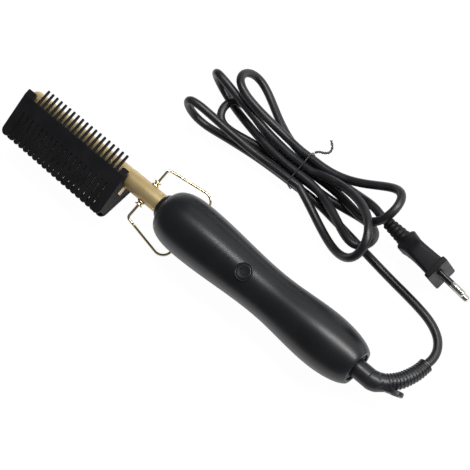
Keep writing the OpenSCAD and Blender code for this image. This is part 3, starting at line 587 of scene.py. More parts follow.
def worked_metal(name, base, deep, roughness, stretch, line, depth, swing=0.06, metallic=1.0):
    """Metal worked in one direction. stretch says how much longer its marks are than wide along x, y and
    z, and line is their width."""
    material, tree, shader, place = blank(name, Metallic=metallic)
    laid = add(tree, "ShaderNodeMapping", {"Vector": place, "Scale": tuple(1 / s for s in stretch)})
    marks = noise(tree, laid.outputs[0], line, 3.0)
    gloss = ranged(tree, marks, 0.25, 0.75, roughness - swing, roughness + swing)
    surfaced(tree, shader, noise(tree, place, 9 * MM, 1.0), (base, deep), gloss, marks, depth)
    return material


def anodised_aluminium(look):
    """Bead-blasted and anodised gold: an even satin with a very fine grain, drawn at 0.25 mm to show. The
    dyed oxide over the metal scatters part of the light, so it isn't all mirror-like."""
    return worked_metal(
        "anodised_gold", look.gold, look.gold_deep, 0.42, (1, 1, 1), 0.25 * MM, 0.004 * MM, metallic=0.65
    )


def lacquered_brass(look):
    """Brass brushed along the barrel under a satin heat-proof lacquer: short fine scratches draw the
    highlight out sideways, and the lacquer's pale pigment scatters most of the light."""
    return worked_metal(
        "lacquered_brass", look.comb_brass, look.gold, 0.5, (12, 1, 1), 0.2 * MM, 0.006 * MM, metallic=0.2
    )


def guard_plastic(look):
    """Heat-proof glass-filled nylon, moulded matte: a coarse dry grain with grey flecks."""
    colours = look.plastic, look.plastic_light
    return moulded("glass_filled_nylon", *colours, 0.5, 0.45 * MM, 0.02 * MM, Specular_IOR_Level=0.3)


def soft_touch(look):
    """Soft-touch lacquer over ABS: nearly black, with wide soft highlights and a velvety edge."""
    velvet = {"Sheen_Weight": 0.05, "Sheen_Roughness": 0.4, "Sheen_Tint": linear("#9a9ca6")}
    colours = look.coating, look.coating_light
    return moulded("soft_touch_lacquer", *colours, 0.34, 0.3 * MM, 0.004 * MM, 22 * MM, 0.03, **velvet)


def satin_abs(look):
    """Smooth black ABS with a semi-gloss mould polish."""
    return moulded("satin_abs", look.trim, look.coating_light, 0.3, 0.4 * MM, 0.005 * MM)


def cord_vinyl(look):
    """Extruded PVC: faint die lines run along the cord, dust and handling leave paler streaks, and the
    skin is slightly pebbled. The pattern follows the cord's own UV map, whose v is in metres."""
    material, tree, shader, _ = blank("extruded_pvc")
    uv = add(tree, "ShaderNodeUVMap", uv_map="UVMap").outputs[0]
    around = math.pi * look.diameter / MM
    lines = add(tree, "ShaderNodeMapping", {"Vector": uv, "Scale": (around, 40.0, 1.0)}).outputs[0]
    skin_place = add(tree, "ShaderNodeMapping", {"Vector": uv, "Scale": (around * MM, 1.0, 1.0)}).outputs[0]
    die = noise(tree, lines, 0.625, 3.0)
    skin = noise(tree, skin_place, 0.9 * MM, 3.0)
    patch = noise(tree, skin_place, 12 * MM, 2.0)
    share = ranged(tree, maths(tree, "MULTIPLY", die, patch), 0.16, 0.42)
    gloss = ranged(tree, patch, 0.3, 0.7, 0.32, 0.46)
    relief = maths(tree, "ADD", die, skin)
    surfaced(tree, shader, share, (look.vinyl, look.vinyl_light), gloss, relief, 0.03 * MM)
    return material


def boot_vinyl(look):
    """Moulded soft PVC of boot and neck, a little glossier on its worn high spots."""
    return moulded("moulded_pvc", look.vinyl, look.vinyl_light, 0.36, 0.6 * MM, 0.012 * MM)


def plug_vinyl(look):
    """Moulded PVC of the plug, spark-eroded matte."""
    colours = look.vinyl, look.vinyl_light
    return moulded("plug_pvc", *colours, 0.5, 0.5 * MM, 0.02 * MM, Specular_IOR_Level=0.25)


def wrapped_wire(look):
    """Plastic-coated tie wire: a thin glossy skin."""
    return moulded("coated_tie_wire", look.tie, linear("#3a3a40"), 0.24, 0.5 * MM, 0.01 * MM)


def polished_brass(look):
    """Polished brass wire: mirror-bright, with the drawing marks only just left."""
    return worked_metal("polished_brass", look.brass, look.brass, 0.12, (1, 1, 1), 0.6 * MM, 0.003 * MM, 0.03)


def turned_nickel(look):
    """Nickel-plated brass pins, turned: fine rings across the pin."""
    return worked_metal("turned_nickel", look.nickel, look.nickel, 0.2, (1, 14, 14), 0.25 * MM, 0.004 * MM)


# ---- Cord, tie and plug ----


TIE = Vector((-110 * MM, 72.8 * MM, 0))
STRAND_STEP = 6.2 * MM
MIDDLE_COLUMN = 2.5
WAIST = 7 * MM
TIE_WIRE = 0.8 * MM
TABLE_GAP = 0.05 * MM
PLUG_AT = Vector((-42.5 * MM, 77.6 * MM, 18.4 * MM))
PLUG_TURN = -6.5
PLUG_ROLL = 6
RELIEF = 15 * MM
PLUG_LENGTH = 30 * MM
PIN_REACH = 19 * MM
# Routes in millimetres in the cord's frame
LEAD_ROUTE = [
    (26.6, 27.1, 8.76), (26.9, 32.4, 6.7), (25.4, 38, 5), (21.4, 43.2, 3.7), (15.5, 47, 2.9),
    (8.5, 49.5, 2.75), (0, 51.2, 2.75), (-10, 52.6, 2.75), (-20, 53.8, 2.75), (-32, 55.4, 2.75),
    (-50, 58, 2.75), (-69, 60.8, 2.9),
    (-86, 63, 3.2), (-95, 63.5, 3.634), (-103, 63.5, 3.634),
]
PLUG_ROUTE = [
    (-103, 82.1, 3.634), (-95, 82.1, 3.634), (-86, 82.1, 3.8), (-77, 82, 5.2), (-69, 81.8, 8.4),
    (-61.5, 81.2, 12.9), (-55, 80.2, 16.5), (-48.6, 78.6, 18.4), (-42.5, 77.6, 18.4),
]
# One fold of the hank: side, first and last slot (column, row), reach, half width, where its tip lies
# across and up, how far it is rolled, and how late it opens
FOLDS = [
    (-1, (1, 0), (1, 1), 77.41, 9.65, -12.31, 18.27, 257.13, 3.16),
    (1, (1, 1), (3, 1), 62.16, 11.26, -18.17, 29.56, 215.37, 0.96),
    (-1, (3, 1), (2, 1), 76.84, 11.15, 14.08, 15.36, 90.86, 3.4),
    (1, (2, 1), (2, 0), 59.16, 10.55, -11.14, 15.78, 145.32, 2.3),
    (-1, (2, 0), (3, 0), 61.12, 7.06, 2.45, 10.01, 179.03, 3.0),
    (1, (3, 0), (4, 1), 61.86, 10.4, 11.86, 29.4, 169.89, 2.57),
    (-1, (4, 1), (4, 0), 60.67, 9.92, 25.98, 19.38, 134.19, 2.23),
]
FOLD_STEPS = 44
# The tie's twisted tail, from the tie's side
TIE_TAIL = [(0, 0, 3), (2, 1.9, 3.2), (5, 3.3, 3), (7, 5.8, 2.4), (6, 9.3, 2), (2.5, 12.3, 2)]
# How far the tie's wire lies clear of the table and of the strands
TIE_GAP = 0.15 * MM


def in_metres(route):
    return [Vector(p) * MM for p in route]


def table_height(look):
    """Height of the cord's middle where it lies on the table."""
    return look.diameter / 2 + TABLE_GAP


def lift(x):
    """How far the tie under the strands lifts them, near the tie."""
    return (TIE_WIRE + TIE_GAP) * math.exp(-((x / (26 * MM)) ** 2))


def slot(look, column, row):
    """Place of one strand under the tie, across and up, from its column and row."""
    return (column - MIDDLE_COLUMN) * STRAND_STEP, table_height(look) + row * STRAND_STEP


def ease(t):
    return t * t * (3 - 2 * t)


def fold_point(look, fold, u):
    """Place on one fold of the hank: u runs from 0, under the tie, through the loop to 1, under it again."""
    side, first, last, reach, half_width, across, up, roll, late = fold
    q = math.sin(math.pi * u)
    width = half_width * math.sqrt((late + 1) ** (late + 1) / late**late) * q**late * math.cos(math.pi * u)
    y0, z0 = slot(look, *first)
    y1, z1 = slot(look, *last)
    share = ease(ease(u))
    tilt = math.radians(roll)
    x = WAIST + reach * MM * q
    y = y0 + (y1 - y0) * share + (across * MM - (y0 + y1) / 2) * q**1.5 + width * MM * math.cos(tilt)
    z = z0 + (z1 - z0) * share + (up * MM - (z0 + z1) / 2) * q**2.2 + width * MM * math.sin(tilt)
    return TIE + Vector((side * x, y, max(table_height(look), z + lift(x))))


def cord_path(look):
    """Ring centres from the boot through the hank's folds to the plug, in the cord's frame."""
    path = smooth_line(in_metres(LEAD_ROUTE), 5)
    for fold in FOLDS:
        path += [fold_point(look, fold, i / FOLD_STEPS) for i in range(FOLD_STEPS + 1)]
    path += smooth_line(in_metres(PLUG_ROUTE), 5)
    kept = [path[0]]
    for point in path[1:]:
        if (point - kept[-1]).length > 0.8 * MM:
            kept.append(point)
    return kept


class HOTCOMB_OT_cord(bpy.types.Operator):
    """Lays the mains cord from the boot through the tied hank to the plug"""

    bl_idname = "hotcomb.cord"
    bl_label = "Cord"

    def execute(self, context):
        look = context.scene.hotcomb_cord
        path = cord_path(look)
        mesh = tube("mains_cord", path, [look.diameter / 2] * len(path), 20)
        nodes = ["cord_lead", "cord_hank", "plug_lead"]
        cord = piece("mains_cord", mesh, cord_vinyl(look), nodes, TABLE, 60, body=None)
        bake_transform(cord)
        return {"FINISHED"}


class HOTCOMB_OT_tie(bpy.types.Operator):
    """Ties the hank with a coated wire, twisted at one side"""

    bl_idname = "hotcomb.tie"
    bl_label = "Twist tie"

    def execute(self, context):
        look = context.scene.hotcomb_cord
        finish = wrapped_wire(look)
        around = look.diameter + 0.4 * MM + TIE_WIRE
        half_w = (3 * STRAND_STEP + around) / 2
        half_h = (STRAND_STEP + around) / 2
        mid = table_height(look) + TIE_WIRE + TIE_GAP + STRAND_STEP / 2
        path = [TIE + Vector((0, y, mid + z)) for y, z in rounded_box(half_w, half_h, 2.6 * MM, 8)]
        wire = tube("tie_wire", path, [TIE_WIRE / 2] * len(path), 12, closed=True, first=Vector((1, 0, 0)))
        piece("tie_wire", wire, finish, ["twist_tie"], TABLE, 60)
        start = Vector((TIE.x, TIE.y + half_w + 1.1 * MM, mid))
        line = smooth_line([start + place for place in in_metres(TIE_TAIL)], 12)
        strands = []
        twist, strand_r = 27, 0.48 * MM
        for phase in (0, 180):
            strand = []
            for i, point in enumerate(line):
                along = (line[min(i + 1, len(line) - 1)] - line[max(i - 1, 0)]).normalized()
                side = along.cross(Vector((0, 0, 1))).normalized()
                a = math.radians(twist * i + phase)
                strand.append(point + strand_r * (math.cos(a) * side + math.sin(a) * side.cross(along)))
            strands.append(tube("strand", strand, [TIE_WIRE / 2] * len(strand), 10))
        piece("tie_twist", joined("tie_twist", *strands), finish, ["tie_tail"], TABLE, 60)
        return {"FINISHED"}


# Half thickness and half height of the plug's body, and the rounding of its corners, along its length
PLUG_SECTIONS = [
    (0, 4.3, 6.4, 2.2), (0.7, 5.9, 7.4, 2.0), (1.6, 6.6, 8.4, 1.8), (2.6, 6.9, 9.4, 1.6),
    (3.6, 6.6, 10.5, 1.8), (5, 6.2, 12.2, 2.2), (7, 5.9, 14.2, 2.6), (9, 5.7, 16.2, 2.8),
    (11, 5.6, 17.4, 2.8), (14, 5.6, 17.6, 2.8), (18, 5.8, 17.6, 2.6), (22, 6.0, 17.6, 2.4),
    (26.4, 6.35, 17.6, 2.2), (26.6, 6.35, 17.6, 1.2), (26.8, 7.3, 17.6, 1.2), (27.1, 7.6, 17.6, 1.2),
    (29.6, 7.6, 17.6, 1.2), (30, 7.2, 17.2, 1.0),
]


class HOTCOMB_OT_plug(bpy.types.Operator):
    """Makes the two-pin plug: ribbed relief, gripped body, insulated pins"""

    bl_idname = "hotcomb.plug"
    bl_label = "Plug"

    def execute(self, context):
        look = context.scene.hotcomb_plug
        finish = plug_vinyl(look)
        spacing = look.pin_spacing / 2
        r = look.pin_radius
        front = RELIEF + PLUG_LENGTH
        root = front - 8 * MM
        bores = [moved(bar(root, front + MM, r), to(0, 0, s * spacing)) for s in (-1, 1)]
        sections = [
            [(RELIEF + x * MM, y, z) for y, z in rounded_box(half_y * MM, half_z * MM, corner * MM, 6)]
            for x, half_y, half_z, corner in PLUG_SECTIONS
        ]
        body = cut(skinned("body", sections), *bores)
        core = lathe("core", [(0, 0), (0, 3.1 * MM), (RELIEF + MM, 4.3 * MM), (RELIEF + MM, 0)], 40)
        rib = rounded_rib(3.9 * MM, 2.3 * MM, 1.8 * MM)
        ribs = rings([(1.2 * MM, 0, 0), (RELIEF - 1.8 * MM, 0, 0)], rib, 5, 1.0, 1.26, finish)
        seat = Matrix.Translation(PLUG_AT) @ turn(PLUG_TURN, "Z") @ turn(PLUG_ROLL, "X")
        moulding = moved(joined("plug_moulding", body, core, ribs), seat)
        piece("plug_moulding", moulding, finish, ["plug_body"], TABLE, 28)
        sleeve_end = front + 10 * MM
        tip = PIN_REACH + front
        shank = r - 0.4 * MM
        pin = [(root, 0), (root, shank), (sleeve_end, shank), (sleeve_end, r - 0.05 * MM)]
        pin += [(sleeve_end + 0.15 * MM, r), *drop(tip - 0.9 * MM, r, 0.9 * MM, 0.8 * MM), (tip, 0)]
        bore, outside, sleeve_front = r - 0.38 * MM, r - 0.15 * MM, sleeve_end - 0.05 * MM
        edge = (sleeve_front, outside, 0.12 * MM)
        sleeve = rounded([(root, bore), (root, outside), edge, (sleeve_front, bore)])
        insulation = satin_abs(context.scene.hotcomb_handle)
        for name, outline, slot_name, shown, node in (
            ("pin_tips", pin, "pin_nickel", turned_nickel(look), "plug_pins"),
            ("pin_root_sleeves", sleeve, "pin_insulation", insulation, "pin_sleeves"),
        ):
            pair = row(lathe(name, outline, 40), 2, (0, 0, -spacing), (0, 0, 2 * spacing), shown)
            piece(name, moved(pair, seat), shown, [node], TABLE)
        return {"FINISHED"}


def rounded_rib(radius, width, core):
    """One collar of a ribbed relief about the z axis, with a crowned rim."""
    half = width / 2
    crown = 0.5 * MM
    edge = radius - crown
    angles = [math.radians(a) for a in range(-75, 76, 25)]
    rim = [(half * math.sin(a), edge + crown * math.cos(a)) for a in angles]
    return lathe("rib", [(-half, core), (-half, edge), *rim, (half, edge), (half, core)], 40, "Z")


# ---- Boot ----


BOOT_ROUTE = [
    (8.9, 0, 20.386), (11.5, 0.3, 20.286), (14.5, 1.9, 19.2), (18.3, 5, 18), (22.2, 10, 15.8),
    (24.8, 16, 13.3), (26.2, 21.5, 11), (26.6, 27, 8.8),
]
BOOT_PROFILE = [
    (0, 5.9), (0.08, 6.15), (0.2, 6.1), (0.34, 5.5), (0.41, 5.1), (0.43, 4.9), (0.7, 4.55),
    (0.955, 4.2), (0.965, 4.5), (0.99, 4.6), (1, 4.3),
]
RIBS_FROM = 0.43
RIBS_TO = 0.945
RIB = 0.42 * MM
RIB_R = 4.65 * MM
# The hanging hole, from the root of the loop
HANG_X = 18.5 * MM
HANG_R = 2.6 * MM


def profile_at(profile, t):
    for (t0, r0), (t1, r1) in zip(profile, profile[1:]):
        if t <= t1:
            return (r0 + (r1 - r0) * ease((t - t0) / (t1 - t0))) * MM
    return profile[-1][1] * MM


class HOTCOMB_OT_boot(bpy.types.Operator):
    """Makes the swivelling neck with its ribbed boot and flat hanging loop"""

    bl_idname = "hotcomb.boot"
    bl_label = "Boot"

    def execute(self, context):
        look = context.scene.hotcomb_cord
        finish = boot_vinyl(look)
        route = smooth_line(in_metres(BOOT_ROUTE), 14)
        last = len(route) - 1
        core = tube("core", route, [profile_at(BOOT_PROFILE, i / last) for i in range(last + 1)], 40)
        first, final = int(RIBS_FROM * last), int(RIBS_TO * last)
        angles = [math.radians(a) for a in range(0, 360, 30)]
        rib = [(1.1 * RIB * math.cos(a), RIB_R + RIB * math.sin(a)) for a in angles]
        ribs = rings(route[first : final + 1], lathe("rib", rib, 40, "Z"), look.ribs, 1.05, 0.9, finish)
        flange = NECK_X0 - REAR_X
        step = flange + 2.2 * MM
        neck_end = 9.3 * MM
        bore, outside, rim = 2.8 * MM, 6 * MM, 8.6 * MM
        neck = rounded([
            (flange, bore), (flange, rim, 0.3 * MM), (step, rim, 0.3 * MM), (step, outside),
            (neck_end, outside, 0.2 * MM), (neck_end, bore),
        ])
        neck = moved(lathe("neck", neck, 64), to(0, 0, AXIS_Z))
        tongue = plate("tongue", tongue_outline(), -1.4 * MM, 1.4 * MM, 0.45 * MM)
        tongue = cut(tongue, pillar("hole", HANG_X, 0, -5 * MM, 5 * MM, HANG_R, sides=48))
        tongue = moved(tongue, turn(90, "X"), turn(19, "Z"), to(8 * MM, -3.2 * MM, AXIS_Z))
        mesh = joined("cord_boot", core, ribs, neck, tongue)
        piece("cord_boot", mesh, finish, ["strain_relief"], TABLE, 40, body="swivel")
        return {"FINISHED"}


def tongue_outline():
    """Side view of the hanging loop, anticlockwise: a strap with a round end."""
    strap = [(0, 4 * MM), (0, -4 * MM), (9 * MM, -3.4 * MM)]
    return strap + arc((HANG_X, 0), 5 * MM, -130, 130, 28) + [(9 * MM, 3.4 * MM)]


# ---- Working end ----


class HOTCOMB_OT_barrel(bpy.types.Operator):
    """Turns the heated barrel with its domed tip and the sleeve that carries the stand"""

    bl_idname = "hotcomb.barrel"
    bl_label = "Barrel and sleeve"

    def execute(self, context):
        look = context.scene.hotcomb_end
        gold = anodised_aluminium(look)
        dome = 5 * MM
        end = SLEEVE_X0 - 0.3 * MM
        bore = BARREL_R - 1.2 * MM
        spigot = SLEEVE_R - 0.85 * MM
        spigot_end = span("barrel")[1].x
        outline = rounded([
            (dome, bore), (dome, BARREL_R, 0.1 * MM), (end, BARREL_R, 0.25 * MM), (end, spigot),
            (spigot_end, spigot, 0.2 * MM), (spigot_end, spigot - MM), (end - 2 * MM, spigot - MM),
            (end - 2 * MM, bore),
        ])
        piece("heated_barrel", lathe("barrel", outline), gold, ["barrel"])
        cap = swell(0, 0, dome, BARREL_R, 5)
        cap += [(dome, bore - 0.05 * MM), (2 * dome, bore - 0.05 * MM), (2 * dome, 0)]
        piece("barrel_dome", lathe("cap", cap), gold, ["barrel_tip_cap"], angle=50)
        inner = SLEEVE_R - 0.8 * MM
        tube_outline = rounded([
            (SLEEVE_X0, inner), (SLEEVE_X0, SLEEVE_R, 0.3 * MM),
            (SLEEVE_X1, SLEEVE_R, 0.2 * MM), (SLEEVE_X1, inner),
        ])
        hole = bar(-2 * SLEEVE_R, 2 * SLEEVE_R, 1.55 * MM, "Y")
        sleeve = cut(lathe("sleeve", tube_outline), moved(hole, to(PIVOT_X, 0, 0)))
        piece("barrel_sleeve", sleeve, gold, ["sleeve"])
        return {"FINISHED"}


# Gap between the metal teeth and the guard's sheets, and half the blank's thickness
TOOTH_GAP = 0.4 * MM
TOOTH_HALF = MM


def deepened(tooth, guard, low):
    """Moves a tooth's faces out towards the guard's sloping sheets, to just short of them."""
    tilt = math.radians(GUARD_TILT)
    sheet = GUARD_TOP_HALF - guard.wall / math.cos(tilt)
    for vertex in tooth.vertices:
        inside = sheet + (low + vertex.co.y) * math.tan(tilt) - TOOTH_GAP
        vertex.co.z += math.copysign(inside - TOOTH_HALF, vertex.co.z)
    return tooth


def slit_places(guard):
    width = GUARD_X1 - GUARD_X0
    return GUARD_X0 + (width - (guard.slits - 1) * guard.pitch) / 2


class HOTCOMB_OT_metal_comb(bpy.types.Operator):
    """Makes the brass comb under the barrel: a drilled spine and a row of tapered teeth"""

    bl_idname = "hotcomb.metal_comb"
    bl_label = "Metal comb"

    def execute(self, context):
        look = context.scene.hotcomb_end
        guard = context.scene.hotcomb_guard
        brass = lacquered_brass(look)
        low = -(BARREL_R + look.spine_depth)
        x0, x1 = span("metal_comb")[0].x, span("metal_comb")[1].x
        step = SLEEVE_X0 - 0.35 * MM
        top = -(BARREL_R + 0.05 * MM)
        rear = top - 0.35 * MM
        outline = [(x0, low), (x1, low), (x1, rear), (step, rear), (step, top), (x0, top)]
        spine = plate("spine", outline, -1.5 * MM, 1.5 * MM, 0.2 * MM)
        posts = [pillar("hole", x, post_y(look), -3 * MM, 3 * MM, 2.2 * MM) for x in post_places(guard)]
        spine = cut(spine, *posts)
        half = look.tooth_width / 2
        tip = half / 2
        tooth = [(-tip, tip - look.tooth_length), *arc((0, tip - look.tooth_length), tip, 200, 340, 6),
                 (tip, tip - look.tooth_length), (half, 0.5 * MM), (-half, 0.5 * MM)]
        tooth = deepened(plate("tooth", tooth, -TOOTH_HALF, TOOTH_HALF, 0.16 * MM), guard, low)
        teeth = row(tooth, guard.slits, (slit_places(guard), low, 0), (guard.pitch, 0, 0), brass)
        piece("brass_comb", joined("brass_comb", spine, teeth), brass, ["metal_comb"])
        return {"FINISHED"}


# Slits from one of the guard's three posts to the next
POST_SLITS = 7


def post_y(look):
    return -(BARREL_R + look.spine_depth / 2)


def post_places(guard):
    centre = (GUARD_X0 + GUARD_X1) / 2
    return [centre + k * guard.pitch * POST_SLITS for k in (-1, 0, 1)]


# ---- Guard ----


GUARD_LOW = -span("guard_front")[0].y
GUARD_TOP_HALF = 11.2 * MM
GUARD_LOW_HALF = 3.8 * MM
GUARD_TILT = math.degrees(math.atan2(GUARD_TOP_HALF - GUARD_LOW_HALF, GUARD_LOW))
UPPER_BASE = 2 * MM
UPPER_TIPS = (9.9 * MM, 6.8 * MM)
LUG = 2.6 * MM
LUG_FRONT = 8.1 * MM
LUG_REAR = 5.3 * MM
CORNER = 4 * MM
# How far inside the guard's ends its end walls stand
WALL_SET = 0.3 * MM


def guard_outline(guard):
    """Outline of one side plate, anticlockwise: fingers with round tips, end lugs, and the upper edge."""
    low = GUARD_LOW / math.cos(math.radians(GUARD_TILT))
    finger = (guard.pitch - guard.slit) / 2
    first = slit_places(guard)
    half_slit = guard.slit / 2
    reach = math.degrees(math.asin((first - half_slit - GUARD_X0 - CORNER) / CORNER))
    outline = arc((GUARD_X0 + CORNER, CORNER - low), CORNER, 180, 270 + reach, 10)
    for i in range(guard.slits):
        x = first + i * guard.pitch
        outline += arc((x, -guard.slit_top - half_slit), half_slit, 180, 0, 6)
        if i < guard.slits - 1:
            outline += arc((x + guard.pitch / 2, finger - low), finger, 180, 360, 12)
    outline += arc((GUARD_X1 - CORNER, CORNER - low), CORNER, 270 - reach, 360, 10)
    return outline + [(GUARD_X1, -UPPER_BASE), (GUARD_X0, -UPPER_BASE)]


def guard_top(guard, finish, tip_y):
    """The guard's upper edge, upright beside the barrel: two end lugs and the short teeth between them."""
    root = -UPPER_BASE - 0.3 * MM
    top = GUARD_TOP_HALF - UPPER_BASE * math.tan(math.radians(GUARD_TILT))
    lugs = []
    front_lug = (GUARD_X0, GUARD_X0 + LUG_FRONT, 1.0, 1.4)
    rear_lug = (GUARD_X1 - LUG_REAR, GUARD_X1, 1.8, 0.8)
    for x0, x1, r0, r1 in (front_lug, rear_lug):
        corners = [(x0, root), (x1, root), (x1, LUG, r1 * MM), (x0, LUG, r0 * MM)]
        lugs.append(plate("lug", rounded(corners), top - guard.wall, top, guard.edge))
    half_w, tip = 1.05 * MM, 0.75 * MM
    tooth = [(-half_w, root), (half_w, root), *arc((0, tip_y - tip), tip, 0, 180, 10)]
    tooth = plate("tooth", tooth, top - guard.wall, top, 0.3 * MM)
    teeth = row(tooth, guard.teeth, (guard.first_tooth, 0, 0), (guard.tooth_pitch, 0, 0), finish)
    return [*lugs, teeth]


def end_wall(guard, x, radius, notch):
    """Wall across one end of the guard, with its half hole for the barrel or sleeve."""
    tilt = math.radians(GUARD_TILT)
    low = -(GUARD_LOW - (guard.pitch - guard.slit) / 2 - MM)
    gap = 0.05 * MM
    inner = guard.wall / math.cos(tilt) - 0.4 * MM
    r = radius + 0.3 * MM
    slot_h = 1.8 * MM if notch else gap
    start = 180 - math.degrees(math.asin(slot_h / r))
    outline = [(low, gap)]
    if notch:
        depth = -(BARREL_R + 6.5 * MM)
        outline += [(depth, gap), (depth, slot_h)]
    outline += arc((0, 0), r, start, 90, 16)
    outline += [(0, GUARD_TOP_HALF - inner), (low, GUARD_TOP_HALF + low * math.tan(tilt) - inner)]
    wall = plate("wall", outline, 0, guard.wall, 0.15 * MM)
    return moved(wall, turn(90, "X"), turn(90, "Z"), to(x, 0, 0))


def guard_half(guard, look, finish, tip_y, wells=()):
    tilt = Matrix.Translation((0, 0, GUARD_TOP_HALF)) @ turn(GUARD_TILT, "X")
    sheet = moved(plate("sheet", guard_outline(guard), -guard.wall, 0, guard.edge), tilt)
    if wells:
        sheet = cut(sheet, *wells)
    walls = [end_wall(guard, GUARD_X0 + WALL_SET, BARREL_R, False),
             end_wall(guard, GUARD_X1 - guard.wall - WALL_SET, SLEEVE_R, True)]
    y = post_y(look)
    top = GUARD_TOP_HALF + y * math.tan(math.radians(GUARD_TILT)) - guard.wall - 0.2 * MM
    posts = [pillar("post", x, y, 0.05 * MM, top, 2.1 * MM, 0.95 * MM) for x in post_places(guard)]
    return joined("half", sheet, *guard_top(guard, finish, tip_y), *walls, *posts)


class HOTCOMB_OT_guard(bpy.types.Operator):
    """Makes both halves of the slotted guard, and the three screws that hold them together"""

    bl_idname = "hotcomb.guard"
    bl_label = "Guard"

    def execute(self, context):
        guard = context.scene.hotcomb_guard
        look = context.scene.hotcomb_end
        finish = guard_plastic(guard)
        front = guard_half(guard, look, finish, UPPER_TIPS[0])
        piece("front_guard", front, finish, ["guard_front"])
        low, high = span("guard_screws")
        places = post_places(guard)
        y = post_y(look)
        wells = [pillar("well", x, y, -low.z - 1.2 * MM, 14 * MM, 1.7 * MM) for x in places]
        back = moved(guard_half(guard, look, finish, UPPER_TIPS[1], wells), Matrix.Scale(-1, 4, (0, 0, 1)))
        piece("back_guard", back, finish, ["guard_back"])
        steel = screw_steel()
        screw = screw_mesh(0.9 * MM, 1.6 * MM, 1.2 * MM, high.z - low.z)
        fixings = row(screw, len(places), (places[0], y, low.z), (places[1] - places[0], 0, 0), steel)
        piece("guard_fixings", fixings, steel, ["guard_screws"])
        return {"FINISHED"}


def screw_steel():
    """Zinc-plated steel: dull bright, with a fine mottle."""
    bright, dull = linear("#a8aab0"), linear("#8b8d94")
    return worked_metal("zinc_plated_steel", bright, dull, 0.32, (1, 1, 1), 0.5 * MM, 0.004 * MM)


def screw_mesh(shank, head, head_height, whole):
    """Pan-head screw standing on its head at z = 0, with a cross recess from below."""
    outline = [(0, 0), *swell(0, 0.7 * head, head_height / 2, 0.3 * head)]
    outline += [(head_height, head), (head_height, shank)]
    outline += [(whole - shank, shank), (whole, shank * 0.4), (whole, 0)]
    body = lathe("screw", outline, 32, "Z")
    slots = []
    for angle in (0, 90):
        w, t = head * 0.62, head * 0.14
        cross = [(-w, -t), (w, -t), (w, t), (-w, t)]
        slot_mesh = plate("cross", cross, -head_height, head_height * 0.55, t * 0.2)
        slots.append(moved(slot_mesh, turn(angle, "Z")))
    return cut(body, *slots)


# ---- Handle ----


def bow(u, power):
    """Quarter curve from 1 at u = 0 down to 0 at u = 1."""
    return max(0.0, 1 - abs(u) ** power) ** (1 / power)


def handle_radius(look, x):
    """Radius of the handle at x: shoulder, front bulge, waist, rear bulge, and the closing rear end."""
    q = x - COLLAR_X
    shoulder = BODY_X - COLLAR_X
    front = 9.4 * MM
    rim = 9 * MM
    if q < look.bulge_at:
        return front + (look.bulge - front) * bow((look.bulge_at - q) / (look.bulge_at - shoulder), 2.5)
    if q < look.waist_at:
        share = ease((q - look.bulge_at) / (look.waist_at - look.bulge_at))
        return look.bulge + (look.waist - look.bulge) * share
    if q < look.tail_at:
        share = ease((q - look.waist_at) / (look.tail_at - look.waist_at))
        return look.waist + (look.tail - look.waist) * share
    run = REAR_X - COLLAR_X - look.tail_at + 1.1 * MM
    return rim + (look.tail - rim) * bow((q - look.tail_at) / run, 2)


def shell_stations(look):
    """Places along the handle, closer together on the shoulder and at the rear end."""
    bulge, tail = COLLAR_X + look.bulge_at, COLLAR_X + look.tail_at
    xs = [BODY_X + (bulge - BODY_X) * (1 - math.cos(math.radians(a))) for a in range(0, 90, 4)]
    steps = 64
    xs += [bulge + (tail - bulge) * i / steps for i in range(steps)]
    xs += [tail + (REAR_X - tail) * math.sin(math.radians(a)) for a in range(0, 87, 4)]
    return xs


def shell(look, start, end):
    """One shell of the handle, turned from one angle to another about the comb's axis."""
    mouth, bore = 8.3 * MM, 9.3 * MM
    x0, x1 = BODY_X + 7 * MM, REAR_X - 6.5 * MM
    xs = shell_stations(look)
    lip = 0.5 * MM
    outline = [(BODY_X, mouth)] + [(x, handle_radius(look, x)) for x in xs]
    rear_r = handle_radius(look, REAR_X)
    outline += [(REAR_X - lip, rear_r + 0.35 * MM), (REAR_X - lip * 0.3, rear_r - 0.05 * MM)]
    outline += [(REAR_X, rear_r - 0.5 * MM)]
    outline += [(REAR_X, bore + 0.3 * MM), (REAR_X - 0.3 * MM, bore), (x1, bore)]
    inside = [x for x in xs[::4] if x0 + MM < x < x1 - MM]
    outline += [(x, handle_radius(look, x) - look.wall) for x in [x1, *reversed(inside), x0]]
    outline += [(x0, mouth)]
    return lathe("shell", outline, 72, "X", start, end)


SCREW_HEAD = 2.6 * MM
SCREW_HEAD_H = 1.8 * MM
# Depth of a screw's seat below the shell's outside
SCREW_SEAT = 6 * MM
LAMP_STEP = 3.3 * MM
LAMPS = 4


